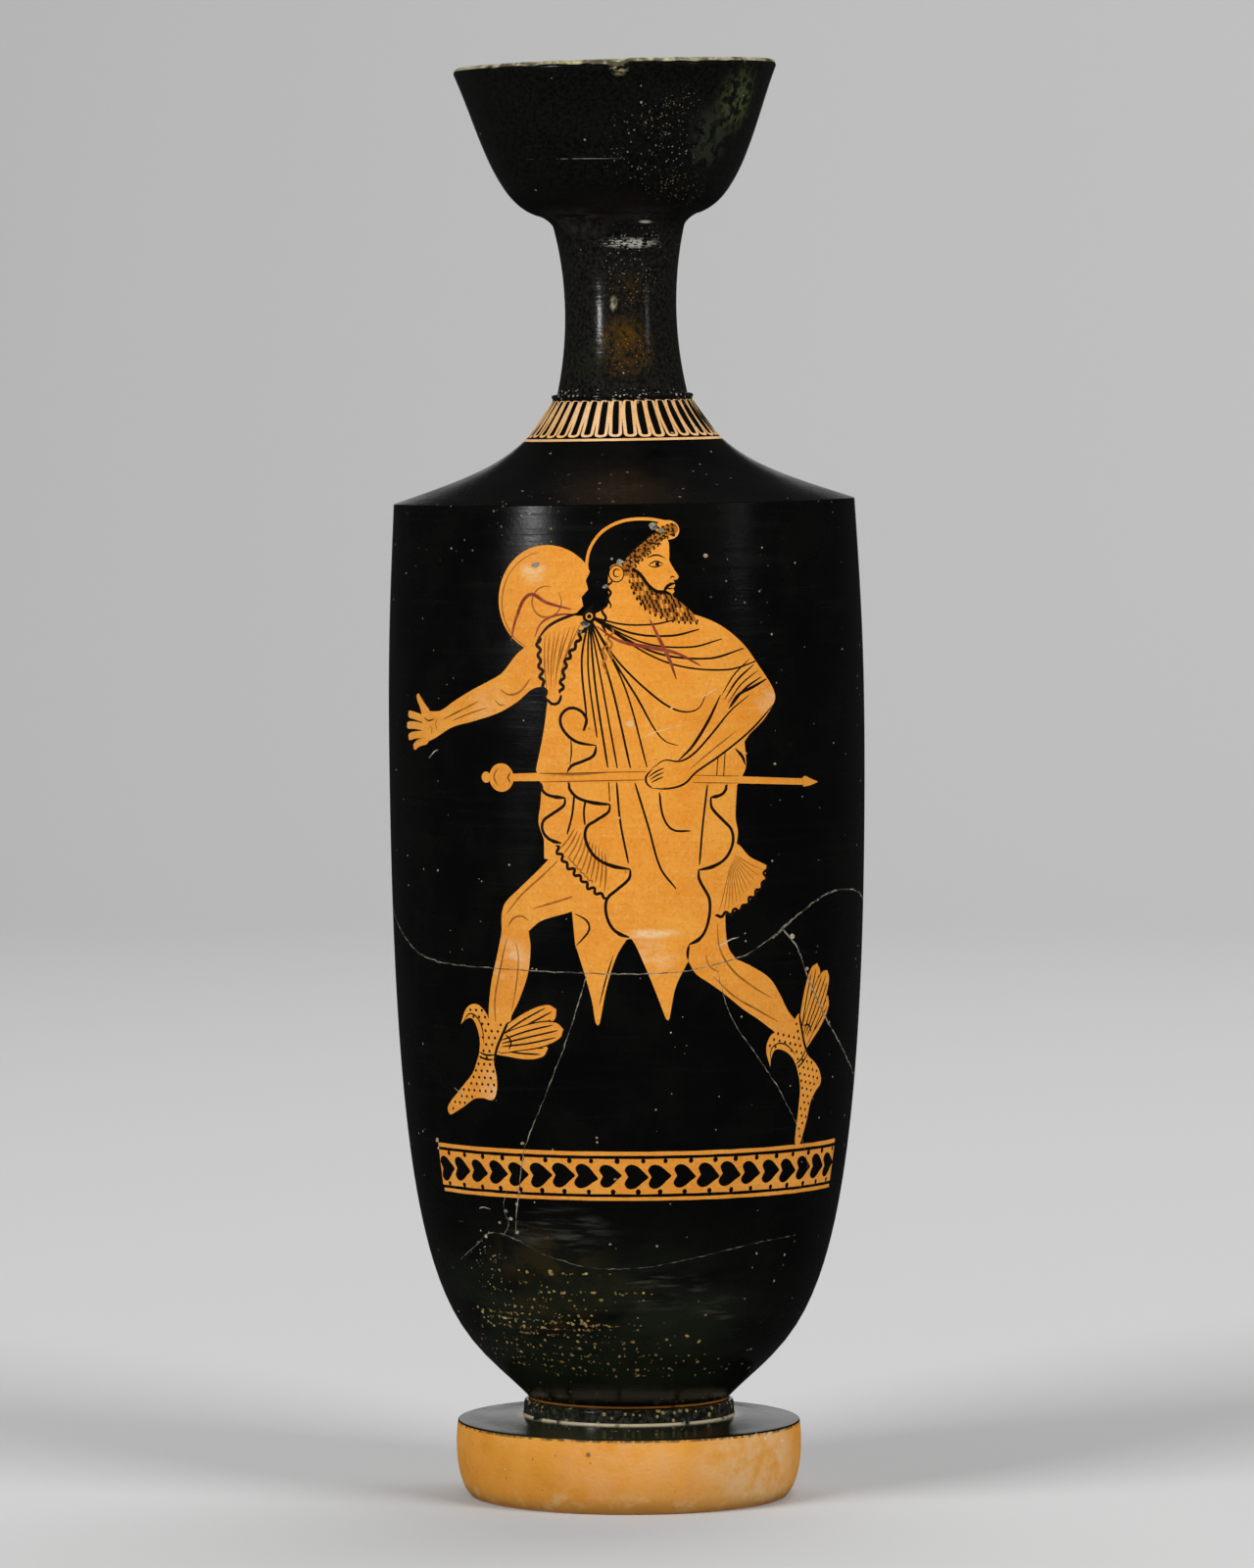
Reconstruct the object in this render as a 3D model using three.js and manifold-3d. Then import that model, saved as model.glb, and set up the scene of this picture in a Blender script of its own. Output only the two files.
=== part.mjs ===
// A tall oil flask of fired terracotta: disc foot, cylinder body, sloping shoulder, narrow neck, cup mouth
// and a strap handle. It was thrown in parts that were luted together before firing, so it is one solid,
// hollow and open at the mouth.
// Millimetres, +Z up. The picture side faces -Y and the handle is at +Y. The origin is the middle of the
// standing ring under the foot.

import * as THREE from "three";
import { mergeVertices } from "three/addons/utils/BufferGeometryUtils.js";
import Module from "manifold-3d";

// Disc foot
const footThickness = 18.0; // at its upper edge
const footRadius = 40.4; // of the upper edge
const footBelly = 0.9; // how far the side swells past the upper edge
const footBaseRadius = 37.4;
const footTopRise = 1.2; // from the upper edge to the moulding round the body
const footEdgeBevel = 0.4;
const standingRingWidth = 7.0;
const recessDepth = 4.0;
const recessDome = 1.0;
const recessSlant = 3.0;

// Moulding between foot and body, with the groove above it
const mouldingRadius = 24.7;
const mouldingHeight = 4.3;
const mouldingRound = 0.5;
const grooveDepth = 1.0;

// Body
const bodyRadius = 56.0;
const bodyHeight = 211.2; // from the groove to the shoulder's edge
const bellyHeight = 158.5; // from the groove to the widest place
const bodyStartRadius = 23.8;
const bowlOpening = THREE.MathUtils.degToRad(46.5); // how steeply the bowl leaves the foot
const bowlRoundness = 24.1; // pull of the curve at the foot
const bowlFullness = 144.5; // pull of the curve below the widest place
const flankPull = 20.0;
const flankTopTilt = THREE.MathUtils.degToRad(3.1);

// Shoulder
const shoulderRadius = 54.2;
const shoulderHeight = 23.7;
const shoulderTopRadius = 16.4;
const shoulderTopSteepness = THREE.MathUtils.degToRad(62.5);
const shoulderTopPull = 15.6;
const shoulderEdgeSlope = THREE.MathUtils.degToRad(18.3);
const shoulderEdgePull = 20.1;

// Collar, the small step where the neck sits on the shoulder
const collarHeight = 1.6;
const collarProud = 0.3;

// Neck
const neckHeight = 41.4;
const neckBaseRadius = 15.3;
const neckTopRadius = 15.7;
const neckBaseLean = THREE.MathUtils.degToRad(12.5);
const neckBasePull = 14.2;
const neckTopFlare = THREE.MathUtils.degToRad(14.1);
const neckTopPull = 13.4;
const neckJoint = 1.0; // height of the joint with the mouth

// Cup mouth
const mouthHeight = 35.6;
const mouthBaseRadius = 16.6;
const mouthRadius = 37.9;
const mouthBaseRise = THREE.MathUtils.degToRad(5.7);
const mouthBasePull = 12.3;
const mouthFlare = THREE.MathUtils.degToRad(22.6); // of the wall under the lip, from upright
const mouthFlarePull = 15.2;
const lipHeight = 1.4;
const lipRound = 0.5;

// Walls and the way through
const wallThickness = 4.5;
const mouthWall = 4.0;
const boreRadius = 7.5;
const boreRounding = 2.0;

// Strap handle
const handleWidth = 20.0;
const handleThickness = 6.6;
const handleReach = 46.0; // from the flask's axis to the middle of the strap
const handleBelowMouth = 14.0; // from the mouth's base to the upper root
const handleFootRadius = 43.0; // from the axis to the lower root
const handleArch = 16.0; // how far the strap's curve is pulled up over the upper root
const handleRootFlare = 0.18; // widening at the roots, as a share of the width
const handleRootReach = 11.0; // length of that widening

// The flask bends a little to the left towards its mouth
const lean = 3.4;

// Fineness of the facets
const sides = 44;
const bowlSteps = 11;
const flankSteps = 4;
const shoulderSteps = 8;
const neckSteps = 7;
const mouthSteps = 9;
const footSteps = 5;
const handleSteps = 18;
const handleCurveSteps = 3;

// Heights above the ground, one part standing on the next
const footTop = footThickness + footTopRise;
const mouldingTop = footTop + mouldingHeight;
const belly = mouldingTop + bellyHeight;
const shoulderEdge = mouldingTop + bodyHeight;
const shoulderTop = shoulderEdge + shoulderHeight;
const neckBase = shoulderTop + collarHeight;
const mouthBase = neckBase + neckHeight;
const mouthTop = mouthBase + mouthHeight;
const lipBase = mouthTop - lipHeight;

const at = (radius, height) => new THREE.Vector2(radius, height);

// A direction in the profile plane: 0 points away from the axis, a quarter turn points up.
const towards = (angle, length) => at(Math.cos(angle) * length, Math.sin(angle) * length);
const up = Math.PI / 2;

// Points of a curve that leaves one place and arrives at another, each with its direction and pull.
function curve(from, leaving, arriving, to, steps) {
  const bezier = new THREE.CubicBezierCurve(from, from.clone().add(leaving), to.clone().sub(arriving), to);
  return bezier.getPoints(steps);
}

function bowlLine() {
  return curve(
    at(bodyStartRadius, mouldingTop),
    towards(bowlOpening, bowlRoundness),
    towards(up, bowlFullness),
    at(bodyRadius, belly),
    bowlSteps,
  );
}

function flankLine() {
  return curve(
    at(bodyRadius, belly),
    towards(up, flankPull),
    towards(up + flankTopTilt, flankPull),
    at(shoulderRadius, shoulderEdge),
    flankSteps,
  );
}

function shoulderLine() {
  return curve(
    at(shoulderRadius, shoulderEdge),
    towards(Math.PI - shoulderEdgeSlope, shoulderEdgePull),
    towards(Math.PI - shoulderTopSteepness, shoulderTopPull),
    at(shoulderTopRadius, shoulderTop),
    shoulderSteps,
  );
}

function neckLine() {
  return curve(
    at(neckBaseRadius, neckBase),
    towards(up + neckBaseLean, neckBasePull),
    towards(up - neckTopFlare, neckTopPull),
    at(neckTopRadius, mouthBase - neckJoint),
    neckSteps,
  );
}

function mouthLine() {
  return curve(
    at(mouthBaseRadius, mouthBase),
    towards(mouthBaseRise, mouthBasePull),
    towards(up - mouthFlare, mouthFlarePull),
    at(mouthRadius, lipBase),
    mouthSteps,
  );
}

function footLine() {
  const side = new THREE.CubicBezierCurve(
    at(footBaseRadius, 0),
    at(footRadius - footBelly / 9, footThickness / 7),
    at(footRadius + footBelly, (footThickness * 3) / 5),
    at(footRadius, footThickness - footEdgeBevel),
  );
  const recessRadius = footBaseRadius - standingRingWidth;
  return [
    at(0, recessDepth + recessDome),
    at(recessRadius - recessSlant, recessDepth),
    at(recessRadius, 0),
    ...side.getPoints(footSteps),
    at(footRadius - footEdgeBevel, footThickness),
    at(mouldingRadius + mouldingRound, footTop),
  ];
}

function mouldingLine() {
  const groove = mouldingRadius - grooveDepth;
  return [
    at(mouldingRadius, footTop + mouldingRound),
    at(mouldingRadius + mouldingRound / 4, footTop + mouldingHeight / 2),
    at(mouldingRadius - mouldingRound / 2, mouldingTop - mouldingRound * 1.5),
    at(groove, mouldingTop - mouldingRound),
  ];
}

function collarLine() {
  const proud = shoulderTopRadius + collarProud;
  return [
    at(proud, shoulderTop + collarHeight * 0.6),
    at(proud - collarProud * 2, neckBase - collarHeight * 0.1),
  ];
}

function lipLine() {
  return [
    at(mouthRadius - lipRound / 2, mouthTop - lipRound),
    at(mouthRadius - lipRound * 2, mouthTop),
  ];
}

// The outside, from under the foot to the lip, closed down the axis.
function outsideProfile() {
  return [
    ...footLine(),
    ...mouldingLine(),
    ...bowlLine(),
    ...flankLine().slice(1),
    ...shoulderLine().slice(1),
    ...collarLine(),
    ...neckLine(),
    ...mouthLine(),
    ...lipLine(),
    at(0, mouthTop),
  ];
}

// An outline moved sideways by a distance, to the left of its direction.
function inset(points, distance) {
  const leftOf = (from, to) => at(from.y - to.y, to.x - from.x).normalize();
  return points.map((point, i) => {
    const before = i > 0 ? leftOf(points[i - 1], point) : leftOf(point, points[i + 1]);
    const after = i < points.length - 1 ? leftOf(point, points[i + 1]) : before;
    const middle = before.clone().add(after).normalize();
    return point.clone().addScaledVector(middle, distance / middle.dot(before));
  });
}

// The hollow, from the floor of the body through the neck to above the lip.
function hollowProfile() {
  const wall = [...bowlLine(), ...flankLine().slice(1), ...shoulderLine().slice(1)];
  const chamber = inset(wall, wallThickness);
  const cup = inset(mouthLine(), mouthWall);
  const boreFoot = chamber.at(-1).y + boreRounding;
  const boreTop = cup[0].y - boreRounding;
  const rim = cup.at(-1);
  const above = mouthTop + mouthWall;
  return [
    at(0, chamber[0].y),
    ...chamber,
    at(boreRadius, boreFoot),
    at(boreRadius, boreTop),
    at(boreRadius + boreRounding, boreTop + boreRounding / 2),
    ...cup,
    at(rim.x + Math.tan(mouthFlare) * (above - rim.y), above),
    at(0, above),
  ];
}

// The height of the shoulder at a radius, for what stands on it.
function shoulderHeightAt(radius) {
  const line = shoulderLine();
  const i = line.findIndex((point) => point.x <= radius);
  const outer = line[Math.max(i - 1, 0)];
  const inner = line[Math.max(i, 1)];
  return THREE.MathUtils.mapLinear(radius, outer.x, inner.x, outer.y, inner.y);
}

// A flat strap with a crowned outer face, bowed out from the neck and down to the shoulder. Both ends run
// into the wall that carries them.
function handleGeometry() {
  const half = handleWidth / 2;
  const thick = handleThickness / 2;
  const edge = handleThickness / 3;
  const section = new THREE.Shape();
  section.moveTo(edge - half, -thick);
  section.lineTo(half - edge, -thick);
  section.quadraticCurveTo(half, -thick, half, edge - thick);
  section.bezierCurveTo(half, thick - edge, half / 2, thick, 0, thick);
  section.bezierCurveTo(-half / 2, thick, -half, thick - edge, -half, edge - thick);
  section.quadraticCurveTo(-half, -thick, edge - half, -thick);

  const rootHeight = mouthBase - handleBelowMouth;
  const footHeight = shoulderHeightAt(handleFootRadius);
  const inNeck = neckBaseRadius * 0.4;
  const rise = rootHeight - footHeight;
  const path = new THREE.CubicBezierCurve3(
    new THREE.Vector3(0, inNeck, rootHeight),
    new THREE.Vector3(0, handleReach * 0.8, rootHeight + handleArch),
    new THREE.Vector3(0, handleReach * 1.15, footHeight + rise * 0.75),
    new THREE.Vector3(0, handleFootRadius, footHeight - wallThickness * 0.6),
  );
  const strap = new THREE.ExtrudeGeometry(section, {
    steps: handleSteps,
    curveSegments: handleCurveSteps,
    bevelEnabled: false,
    extrudePath: path,
  });

  // The potter smoothed extra clay round both roots, so that the strap spreads there.
  const position = strap.getAttribute("position");
  for (let i = 0; i < position.count; i += 1) {
    const fromNeck = position.getY(i) - neckBaseRadius;
    const fromShoulder = position.getZ(i) - footHeight;
    const near = Math.min(Math.max(fromNeck, 0), Math.max(fromShoulder, 0)) / handleRootReach;
    const spread = handleRootFlare * (1 - THREE.MathUtils.smoothstep(near, 0, 1));
    position.setX(i, position.getX(i) * (1 + spread));
  }
  return strap;
}

// A profile turned round the upright axis.
function turned(profile) {
  return new THREE.LatheGeometry(profile, sides).rotateX(up);
}

const wasm = await Module();
wasm.setup();

// A closed mesh as a solid that can be joined and cut.
function solid(geometry) {
  const bare = geometry.clone();
  bare.deleteAttribute("normal");
  bare.deleteAttribute("uv");
  const merged = mergeVertices(bare);
  const index = merged.getIndex().array;
  const triangles = [];
  for (let i = 0; i < index.length; i += 3) {
    const [a, b, c] = index.subarray(i, i + 3);
    if (a !== b && b !== c && c !== a) {
      triangles.push(a, b, c);
    }
  }
  return new wasm.Manifold(
    new wasm.Mesh({
      numProp: 3,
      vertProperties: new Float32Array(merged.getAttribute("position").array),
      triVerts: new Uint32Array(triangles),
    }),
  );
}

// Bends the upright axis: its upper part leans to the left, and every section stays square to it.
function bend(geometry) {
  const position = geometry.getAttribute("position");
  for (let i = 0; i < position.count; i += 1) {
    const share = position.getZ(i) / mouthTop;
    const slope = Math.atan((-3 * lean * share * share) / mouthTop);
    const across = position.getX(i);
    const height = position.getZ(i);
    position.setX(i, across * Math.cos(slope) - lean * share ** 3);
    position.setZ(i, height - across * Math.sin(slope));
  }
}

function flask() {
  const form = solid(turned(outsideProfile()))
    .add(solid(handleGeometry()))
    .subtract(solid(turned(hollowProfile())));
  const mesh = form.getMesh();
  const geometry = new THREE.BufferGeometry();
  geometry.setAttribute("position", new THREE.BufferAttribute(new Float32Array(mesh.vertProperties), 3));
  geometry.setIndex(new THREE.BufferAttribute(new Uint32Array(mesh.triVerts), 1));
  bend(geometry);
  geometry.computeVertexNormals();
  const blackGloss = new THREE.MeshStandardMaterial({ color: "#14120f", roughness: 0.28, metalness: 0 });
  const piece = new THREE.Mesh(geometry, blackGloss);
  piece.name = "flask";
  return piece;
}

const object = new THREE.Group();
object.add(flask());

export default object;
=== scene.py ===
import math
import random

import bmesh
import bpy
import numpy as np
from mathutils import Matrix, Vector
from mathutils.geometry import delaunay_2d_cdt, interpolate_bezier


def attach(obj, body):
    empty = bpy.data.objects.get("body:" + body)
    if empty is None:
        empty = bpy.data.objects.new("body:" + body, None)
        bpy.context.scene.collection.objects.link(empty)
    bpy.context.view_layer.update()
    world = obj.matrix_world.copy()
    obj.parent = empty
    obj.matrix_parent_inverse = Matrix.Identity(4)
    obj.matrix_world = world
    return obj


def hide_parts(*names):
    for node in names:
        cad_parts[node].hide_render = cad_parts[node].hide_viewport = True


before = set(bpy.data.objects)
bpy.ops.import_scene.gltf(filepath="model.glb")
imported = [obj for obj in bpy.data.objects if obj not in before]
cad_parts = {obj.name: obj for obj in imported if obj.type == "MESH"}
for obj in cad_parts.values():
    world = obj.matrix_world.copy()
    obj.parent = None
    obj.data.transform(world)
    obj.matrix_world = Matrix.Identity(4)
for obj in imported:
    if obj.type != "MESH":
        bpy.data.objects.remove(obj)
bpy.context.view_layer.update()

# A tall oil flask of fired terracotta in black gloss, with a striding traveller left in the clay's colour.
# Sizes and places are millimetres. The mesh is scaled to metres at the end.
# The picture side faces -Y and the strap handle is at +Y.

MM = 0.001

# Disc foot
FOOT_THICKNESS = 18.0
FOOT_RADIUS = 40.4
FOOT_BELLY = 0.9
FOOT_BASE_RADIUS = 37.4
FOOT_TOP_RISE = 1.2
FOOT_EDGE = 0.4
STANDING_RING = 7.0
RECESS_DEPTH = 4.0
RECESS_DOME = 1.0
RECESS_SLANT = 3.0

# Moulding between foot and body
MOULDING_RADIUS = 24.7
MOULDING_HEIGHT = 4.3
MOULDING_ROUND = 0.5
GROOVE_DEPTH = 1.0

# Body
BODY_RADIUS = 56.0
BODY_HEIGHT = 211.2
BELLY_HEIGHT = 158.5
BODY_START_RADIUS = 23.8
BOWL_OPENING = math.radians(46.5)
BOWL_ROUNDNESS = 24.1
BOWL_FULLNESS = 144.5
FLANK_PULL = 20.0
FLANK_TOP_TILT = math.radians(3.1)

# Shoulder and the small collar under the neck
SHOULDER_RADIUS = 54.2
SHOULDER_HEIGHT = 23.7
SHOULDER_TOP_RADIUS = 16.4
SHOULDER_TOP_STEEPNESS = math.radians(62.5)
SHOULDER_TOP_PULL = 15.6
SHOULDER_EDGE_SLOPE = math.radians(18.3)
SHOULDER_EDGE_PULL = 20.1
COLLAR_HEIGHT = 1.6
COLLAR_PROUD = 0.3

# Neck
NECK_HEIGHT = 41.4
NECK_BASE_RADIUS = 15.3
NECK_TOP_RADIUS = 15.7
NECK_BASE_LEAN = math.radians(12.5)
NECK_BASE_PULL = 14.2
NECK_TOP_FLARE = math.radians(14.1)
NECK_TOP_PULL = 13.4
NECK_JOINT = 1.0
WIPED_JOINT = 2.4  # how far up and out the joint under the mouth was wiped smooth

# Cup mouth
MOUTH_HEIGHT = 35.6
MOUTH_BASE_RADIUS = 16.6
MOUTH_RADIUS = 37.9
MOUTH_BASE_RISE = math.radians(5.7)
MOUTH_BASE_PULL = 12.3
MOUTH_FLARE = math.radians(22.6)
MOUTH_FLARE_PULL = 15.2
LIP_HEIGHT = 1.4
LIP_ROUND = 0.5

# Walls and the way through
WALL = 4.5
MOUTH_WALL = 4.0
BORE_RADIUS = 7.5
BORE_ROUNDING = 2.0

# Strap handle
HANDLE_WIDTH = 20.0
HANDLE_THICKNESS = 6.6
HANDLE_REACH = 46.0
HANDLE_BELOW_MOUTH = 14.0
HANDLE_FOOT_RADIUS = 43.0
HANDLE_ARCH = 16.0
HANDLE_ROOT_FLARE = 0.18
HANDLE_ROOT_REACH = 11.0

LEAN = 3.4  # the mouth stands this far to the left of the foot

# Heights above the ground
FOOT_TOP = FOOT_THICKNESS + FOOT_TOP_RISE
MOULDING_TOP = FOOT_TOP + MOULDING_HEIGHT
BELLY = MOULDING_TOP + BELLY_HEIGHT
SHOULDER_EDGE = MOULDING_TOP + BODY_HEIGHT
SHOULDER_TOP = SHOULDER_EDGE + SHOULDER_HEIGHT
NECK_BASE = SHOULDER_TOP + COLLAR_HEIGHT
MOUTH_BASE = NECK_BASE + NECK_HEIGHT
MOUTH_TOP = MOUTH_BASE + MOUTH_HEIGHT
LIP_BASE = MOUTH_TOP - LIP_HEIGHT

# The painted wall, and the band of tongues round the top of the shoulder
WALL_FROM = 30.0
WALL_TO = 233.5
TONGUES_FROM_RADIUS = 24.4

COLUMNS = 144
WALL_ROWS = 58
TONGUE_ROWS = 6
SMOOTH_JOIN = math.radians(14)
CREASE = math.radians(40)

# Finishes, in the order of the piece's material slots
GLOSS, CLAY, LINE, DILUTE, RED, FILL, CHIP, PIT, PALE_CLAY, RAW, FOOT_CLAY, LIP_CLAY = range(12)

# Brush widths
HAIR, FINE, SLIM, PLAIN, BOLD, HEAVY = 0.28, 0.36, 0.42, 0.5, 0.72, 0.95
CORD = 0.85


def towards(angle, length):
    """A step in the profile plane: 0 points away from the axis, a quarter turn points up."""
    return Vector((math.cos(angle) * length, math.sin(angle) * length))


def curve(start, leaving, arriving, end, steps):
    """Points of a curve that leaves one place and arrives at another, each with its direction and pull."""
    start, end = Vector(start), Vector(end)
    return [Vector(p[:2]) for p in interpolate_bezier(start, start + leaving, end - arriving, end, steps + 1)]


def inset(points, distance):
    """An outline moved sideways, to the left of its direction."""
    moved = []
    for i, point in enumerate(points):
        before = points[i] - points[i - 1] if i > 0 else points[1] - points[0]
        after = points[i + 1] - points[i] if i < len(points) - 1 else before
        left_before = Vector((-before.y, before.x)).normalized()
        left_after = Vector((-after.y, after.x)).normalized()
        middle = (left_before + left_after).normalized()
        moved.append(point + middle * (distance / middle.dot(left_before)))
    return moved


def cut_at(points, axis, value):
    """The two parts of an outline, parted where its radius (axis 0) or height (axis 1) passes a value."""
    for i, (a, b) in enumerate(zip(points, points[1:])):
        if min(a[axis], b[axis]) < value < max(a[axis], b[axis]):
            cut = a.lerp(b, (value - a[axis]) / (b[axis] - a[axis]))
            return points[:i + 1] + [cut], [cut] + points[i + 1:]
    raise ValueError("the outline doesn't pass that value")


UP = math.pi / 2
OUT = 0.0
IN = math.pi


def profile():
    """The flask's closed profile in parts, each with its finish, from under the foot to the floor inside."""
    recess_radius = FOOT_BASE_RADIUS - STANDING_RING
    soft = FOOT_EDGE
    underside = curve((0, RECESS_DEPTH + RECESS_DOME), towards(OUT, 9), towards(OUT, 9),
                      (recess_radius - RECESS_SLANT, RECESS_DEPTH), 8)
    slant = math.atan2(-RECESS_DEPTH, RECESS_SLANT)
    underside += curve(underside[-1], towards(slant, 1), towards(slant, 1),
                       (recess_radius - soft, soft), 4)[1:]
    underside += curve(underside[-1], towards(slant, 0.3), towards(OUT, 0.3),
                       (recess_radius + soft, 0), 3)[1:]
    ring = [underside[-1], Vector((FOOT_BASE_RADIUS - soft, 0))]
    corner = curve(ring[-1], towards(OUT, 0.3), towards(UP, 0.2), (FOOT_BASE_RADIUS, 0.3), 3)
    ring += corner[1:]
    side_top = Vector((FOOT_RADIUS, FOOT_THICKNESS - FOOT_EDGE))
    side_pulls = (Vector((FOOT_RADIUS - FOOT_BELLY / 9, FOOT_THICKNESS / 7)),
                  Vector((FOOT_RADIUS + FOOT_BELLY, FOOT_THICKNESS * 3 / 5)))
    foot_side = [Vector(p[:2]) for p in interpolate_bezier(ring[-1], *side_pulls, side_top, 19)]
    foot_top = curve(side_top, towards(UP, 0.25), towards(IN, 0.25),
                     (FOOT_RADIUS - FOOT_EDGE, FOOT_THICKNESS), 4)
    foot_top += curve(foot_top[-1], towards(IN, 5), towards(IN, 5),
                      (MOULDING_RADIUS + MOULDING_ROUND, FOOT_TOP), 6)[1:]
    moulding = curve(foot_top[-1], towards(IN, 0.1), towards(UP, 1.6),
                     (MOULDING_RADIUS + MOULDING_ROUND / 4, FOOT_TOP + MOULDING_HEIGHT / 2), 8)
    groove_foot = Vector((MOULDING_RADIUS - GROOVE_DEPTH, MOULDING_TOP - MOULDING_ROUND * 1.5))
    moulding += curve(moulding[-1], towards(UP, 1.2), towards(IN, 0.7), groove_foot, 7)[1:]
    bowl_start = Vector((BODY_START_RADIUS, MOULDING_TOP))
    groove_top = Vector((MOULDING_RADIUS - GROOVE_DEPTH, MOULDING_TOP - MOULDING_ROUND / 2))
    groove = [groove_foot, groove_top, bowl_start]

    body = curve(bowl_start, towards(BOWL_OPENING, BOWL_ROUNDNESS), towards(UP, BOWL_FULLNESS),
                 (BODY_RADIUS, BELLY), 90)
    body += curve(body[-1], towards(UP, FLANK_PULL), towards(UP + FLANK_TOP_TILT, FLANK_PULL),
                  (SHOULDER_RADIUS, SHOULDER_EDGE), 24)[1:]
    bowl, rest = cut_at(body, 1, WALL_FROM)
    wall, wall_top = cut_at(rest, 1, WALL_TO)
    shoulder = curve(body[-1], towards(IN - SHOULDER_EDGE_SLOPE, SHOULDER_EDGE_PULL),
                     towards(IN - SHOULDER_TOP_STEEPNESS, SHOULDER_TOP_PULL),
                     (SHOULDER_TOP_RADIUS, SHOULDER_TOP), 40)
    slope, tongues = cut_at(shoulder, 0, TONGUES_FROM_RADIUS)
    proud = SHOULDER_TOP_RADIUS + COLLAR_PROUD
    neck_start = Vector((NECK_BASE_RADIUS, NECK_BASE))
    collar = curve(tongues[-1], towards(UP, 0.4), towards(UP, 0.3),
                   (proud, SHOULDER_TOP + COLLAR_HEIGHT * 0.6), 4)
    collar += curve(collar[-1], towards(UP, 0.4), towards(IN, 0.6), neck_start, 5)[1:]
    neck = curve(neck_start, towards(UP + NECK_BASE_LEAN, NECK_BASE_PULL),
                 towards(UP - NECK_TOP_FLARE, NECK_TOP_PULL), (NECK_TOP_RADIUS, MOUTH_BASE - NECK_JOINT), 30)
    neck = cut_at(neck, 1, MOUTH_BASE - WIPED_JOINT)[0]
    cup_line = curve((MOUTH_BASE_RADIUS, MOUTH_BASE), towards(MOUTH_BASE_RISE, MOUTH_BASE_PULL),
                     towards(UP - MOUTH_FLARE, MOUTH_FLARE_PULL), (MOUTH_RADIUS, LIP_BASE), 36)
    outside = cut_at(cup_line, 0, MOUTH_BASE_RADIUS + WIPED_JOINT)[1]
    mouth = curve(neck[-1], towards(UP - NECK_TOP_FLARE, WIPED_JOINT / 2),
                  towards(MOUTH_BASE_RISE * 1.5, WIPED_JOINT / 2), outside[0], 7)
    mouth += outside[1:]

    cup = inset(cup_line, MOUTH_WALL)
    rim = cup[-1]
    lip_inside = Vector((rim.x + math.tan(MOUTH_FLARE) * (MOUTH_TOP - rim.y), MOUTH_TOP))
    lip = curve(mouth[-1], towards(UP, 0.6), towards(IN, 0.5), (MOUTH_RADIUS - LIP_ROUND * 2, MOUTH_TOP), 6)
    mouth += lip[1:3]
    lip = lip[2:] + [Vector((lip_inside.x + 0.4, MOUTH_TOP))]
    lip += curve(lip[-1], towards(IN, 0.3), towards(-UP, 0.3), (lip_inside.x - 0.1, MOUTH_TOP - 0.4), 3)[1:]
    chamber = inset(body[:-1] + shoulder, WALL)
    bore_foot = chamber[-1].y + BORE_ROUNDING
    bore_top = cup[0].y - BORE_ROUNDING
    bore_mouth = Vector((BORE_RADIUS + BORE_ROUNDING, bore_top + BORE_ROUNDING / 2))
    inside_cup = [lip[-1]] + cup[::-1] + [bore_mouth]
    bore = curve(bore_mouth, towards(-UP - 0.4, 0.8), towards(-UP, 0.8), (BORE_RADIUS, bore_top), 4)
    bore += [Vector((BORE_RADIUS, bore_top + (bore_foot - bore_top) * k / 10)) for k in range(1, 11)]
    inside = [bore[-1]] + chamber[::-3] + [chamber[0], Vector((0, chamber[0].y))]
    return [
        ("underside", RAW, underside), ("ring", RAW, ring), ("foot_side", FOOT_CLAY, foot_side),
        ("foot_top", GLOSS, foot_top), ("moulding", GLOSS, moulding), ("groove", GLOSS, groove),
        ("bowl", GLOSS, bowl), ("wall", GLOSS, wall), ("wall_top", GLOSS, wall_top),
        ("shoulder", GLOSS, slope), ("tongues", GLOSS, tongues), ("collar", GLOSS, collar),
        ("neck", GLOSS, neck), ("mouth", GLOSS, mouth), ("lip", LIP_CLAY, lip), ("cup", GLOSS, inside_cup),
        ("bore", RAW, bore), ("inside", RAW, inside),
    ]


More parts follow.
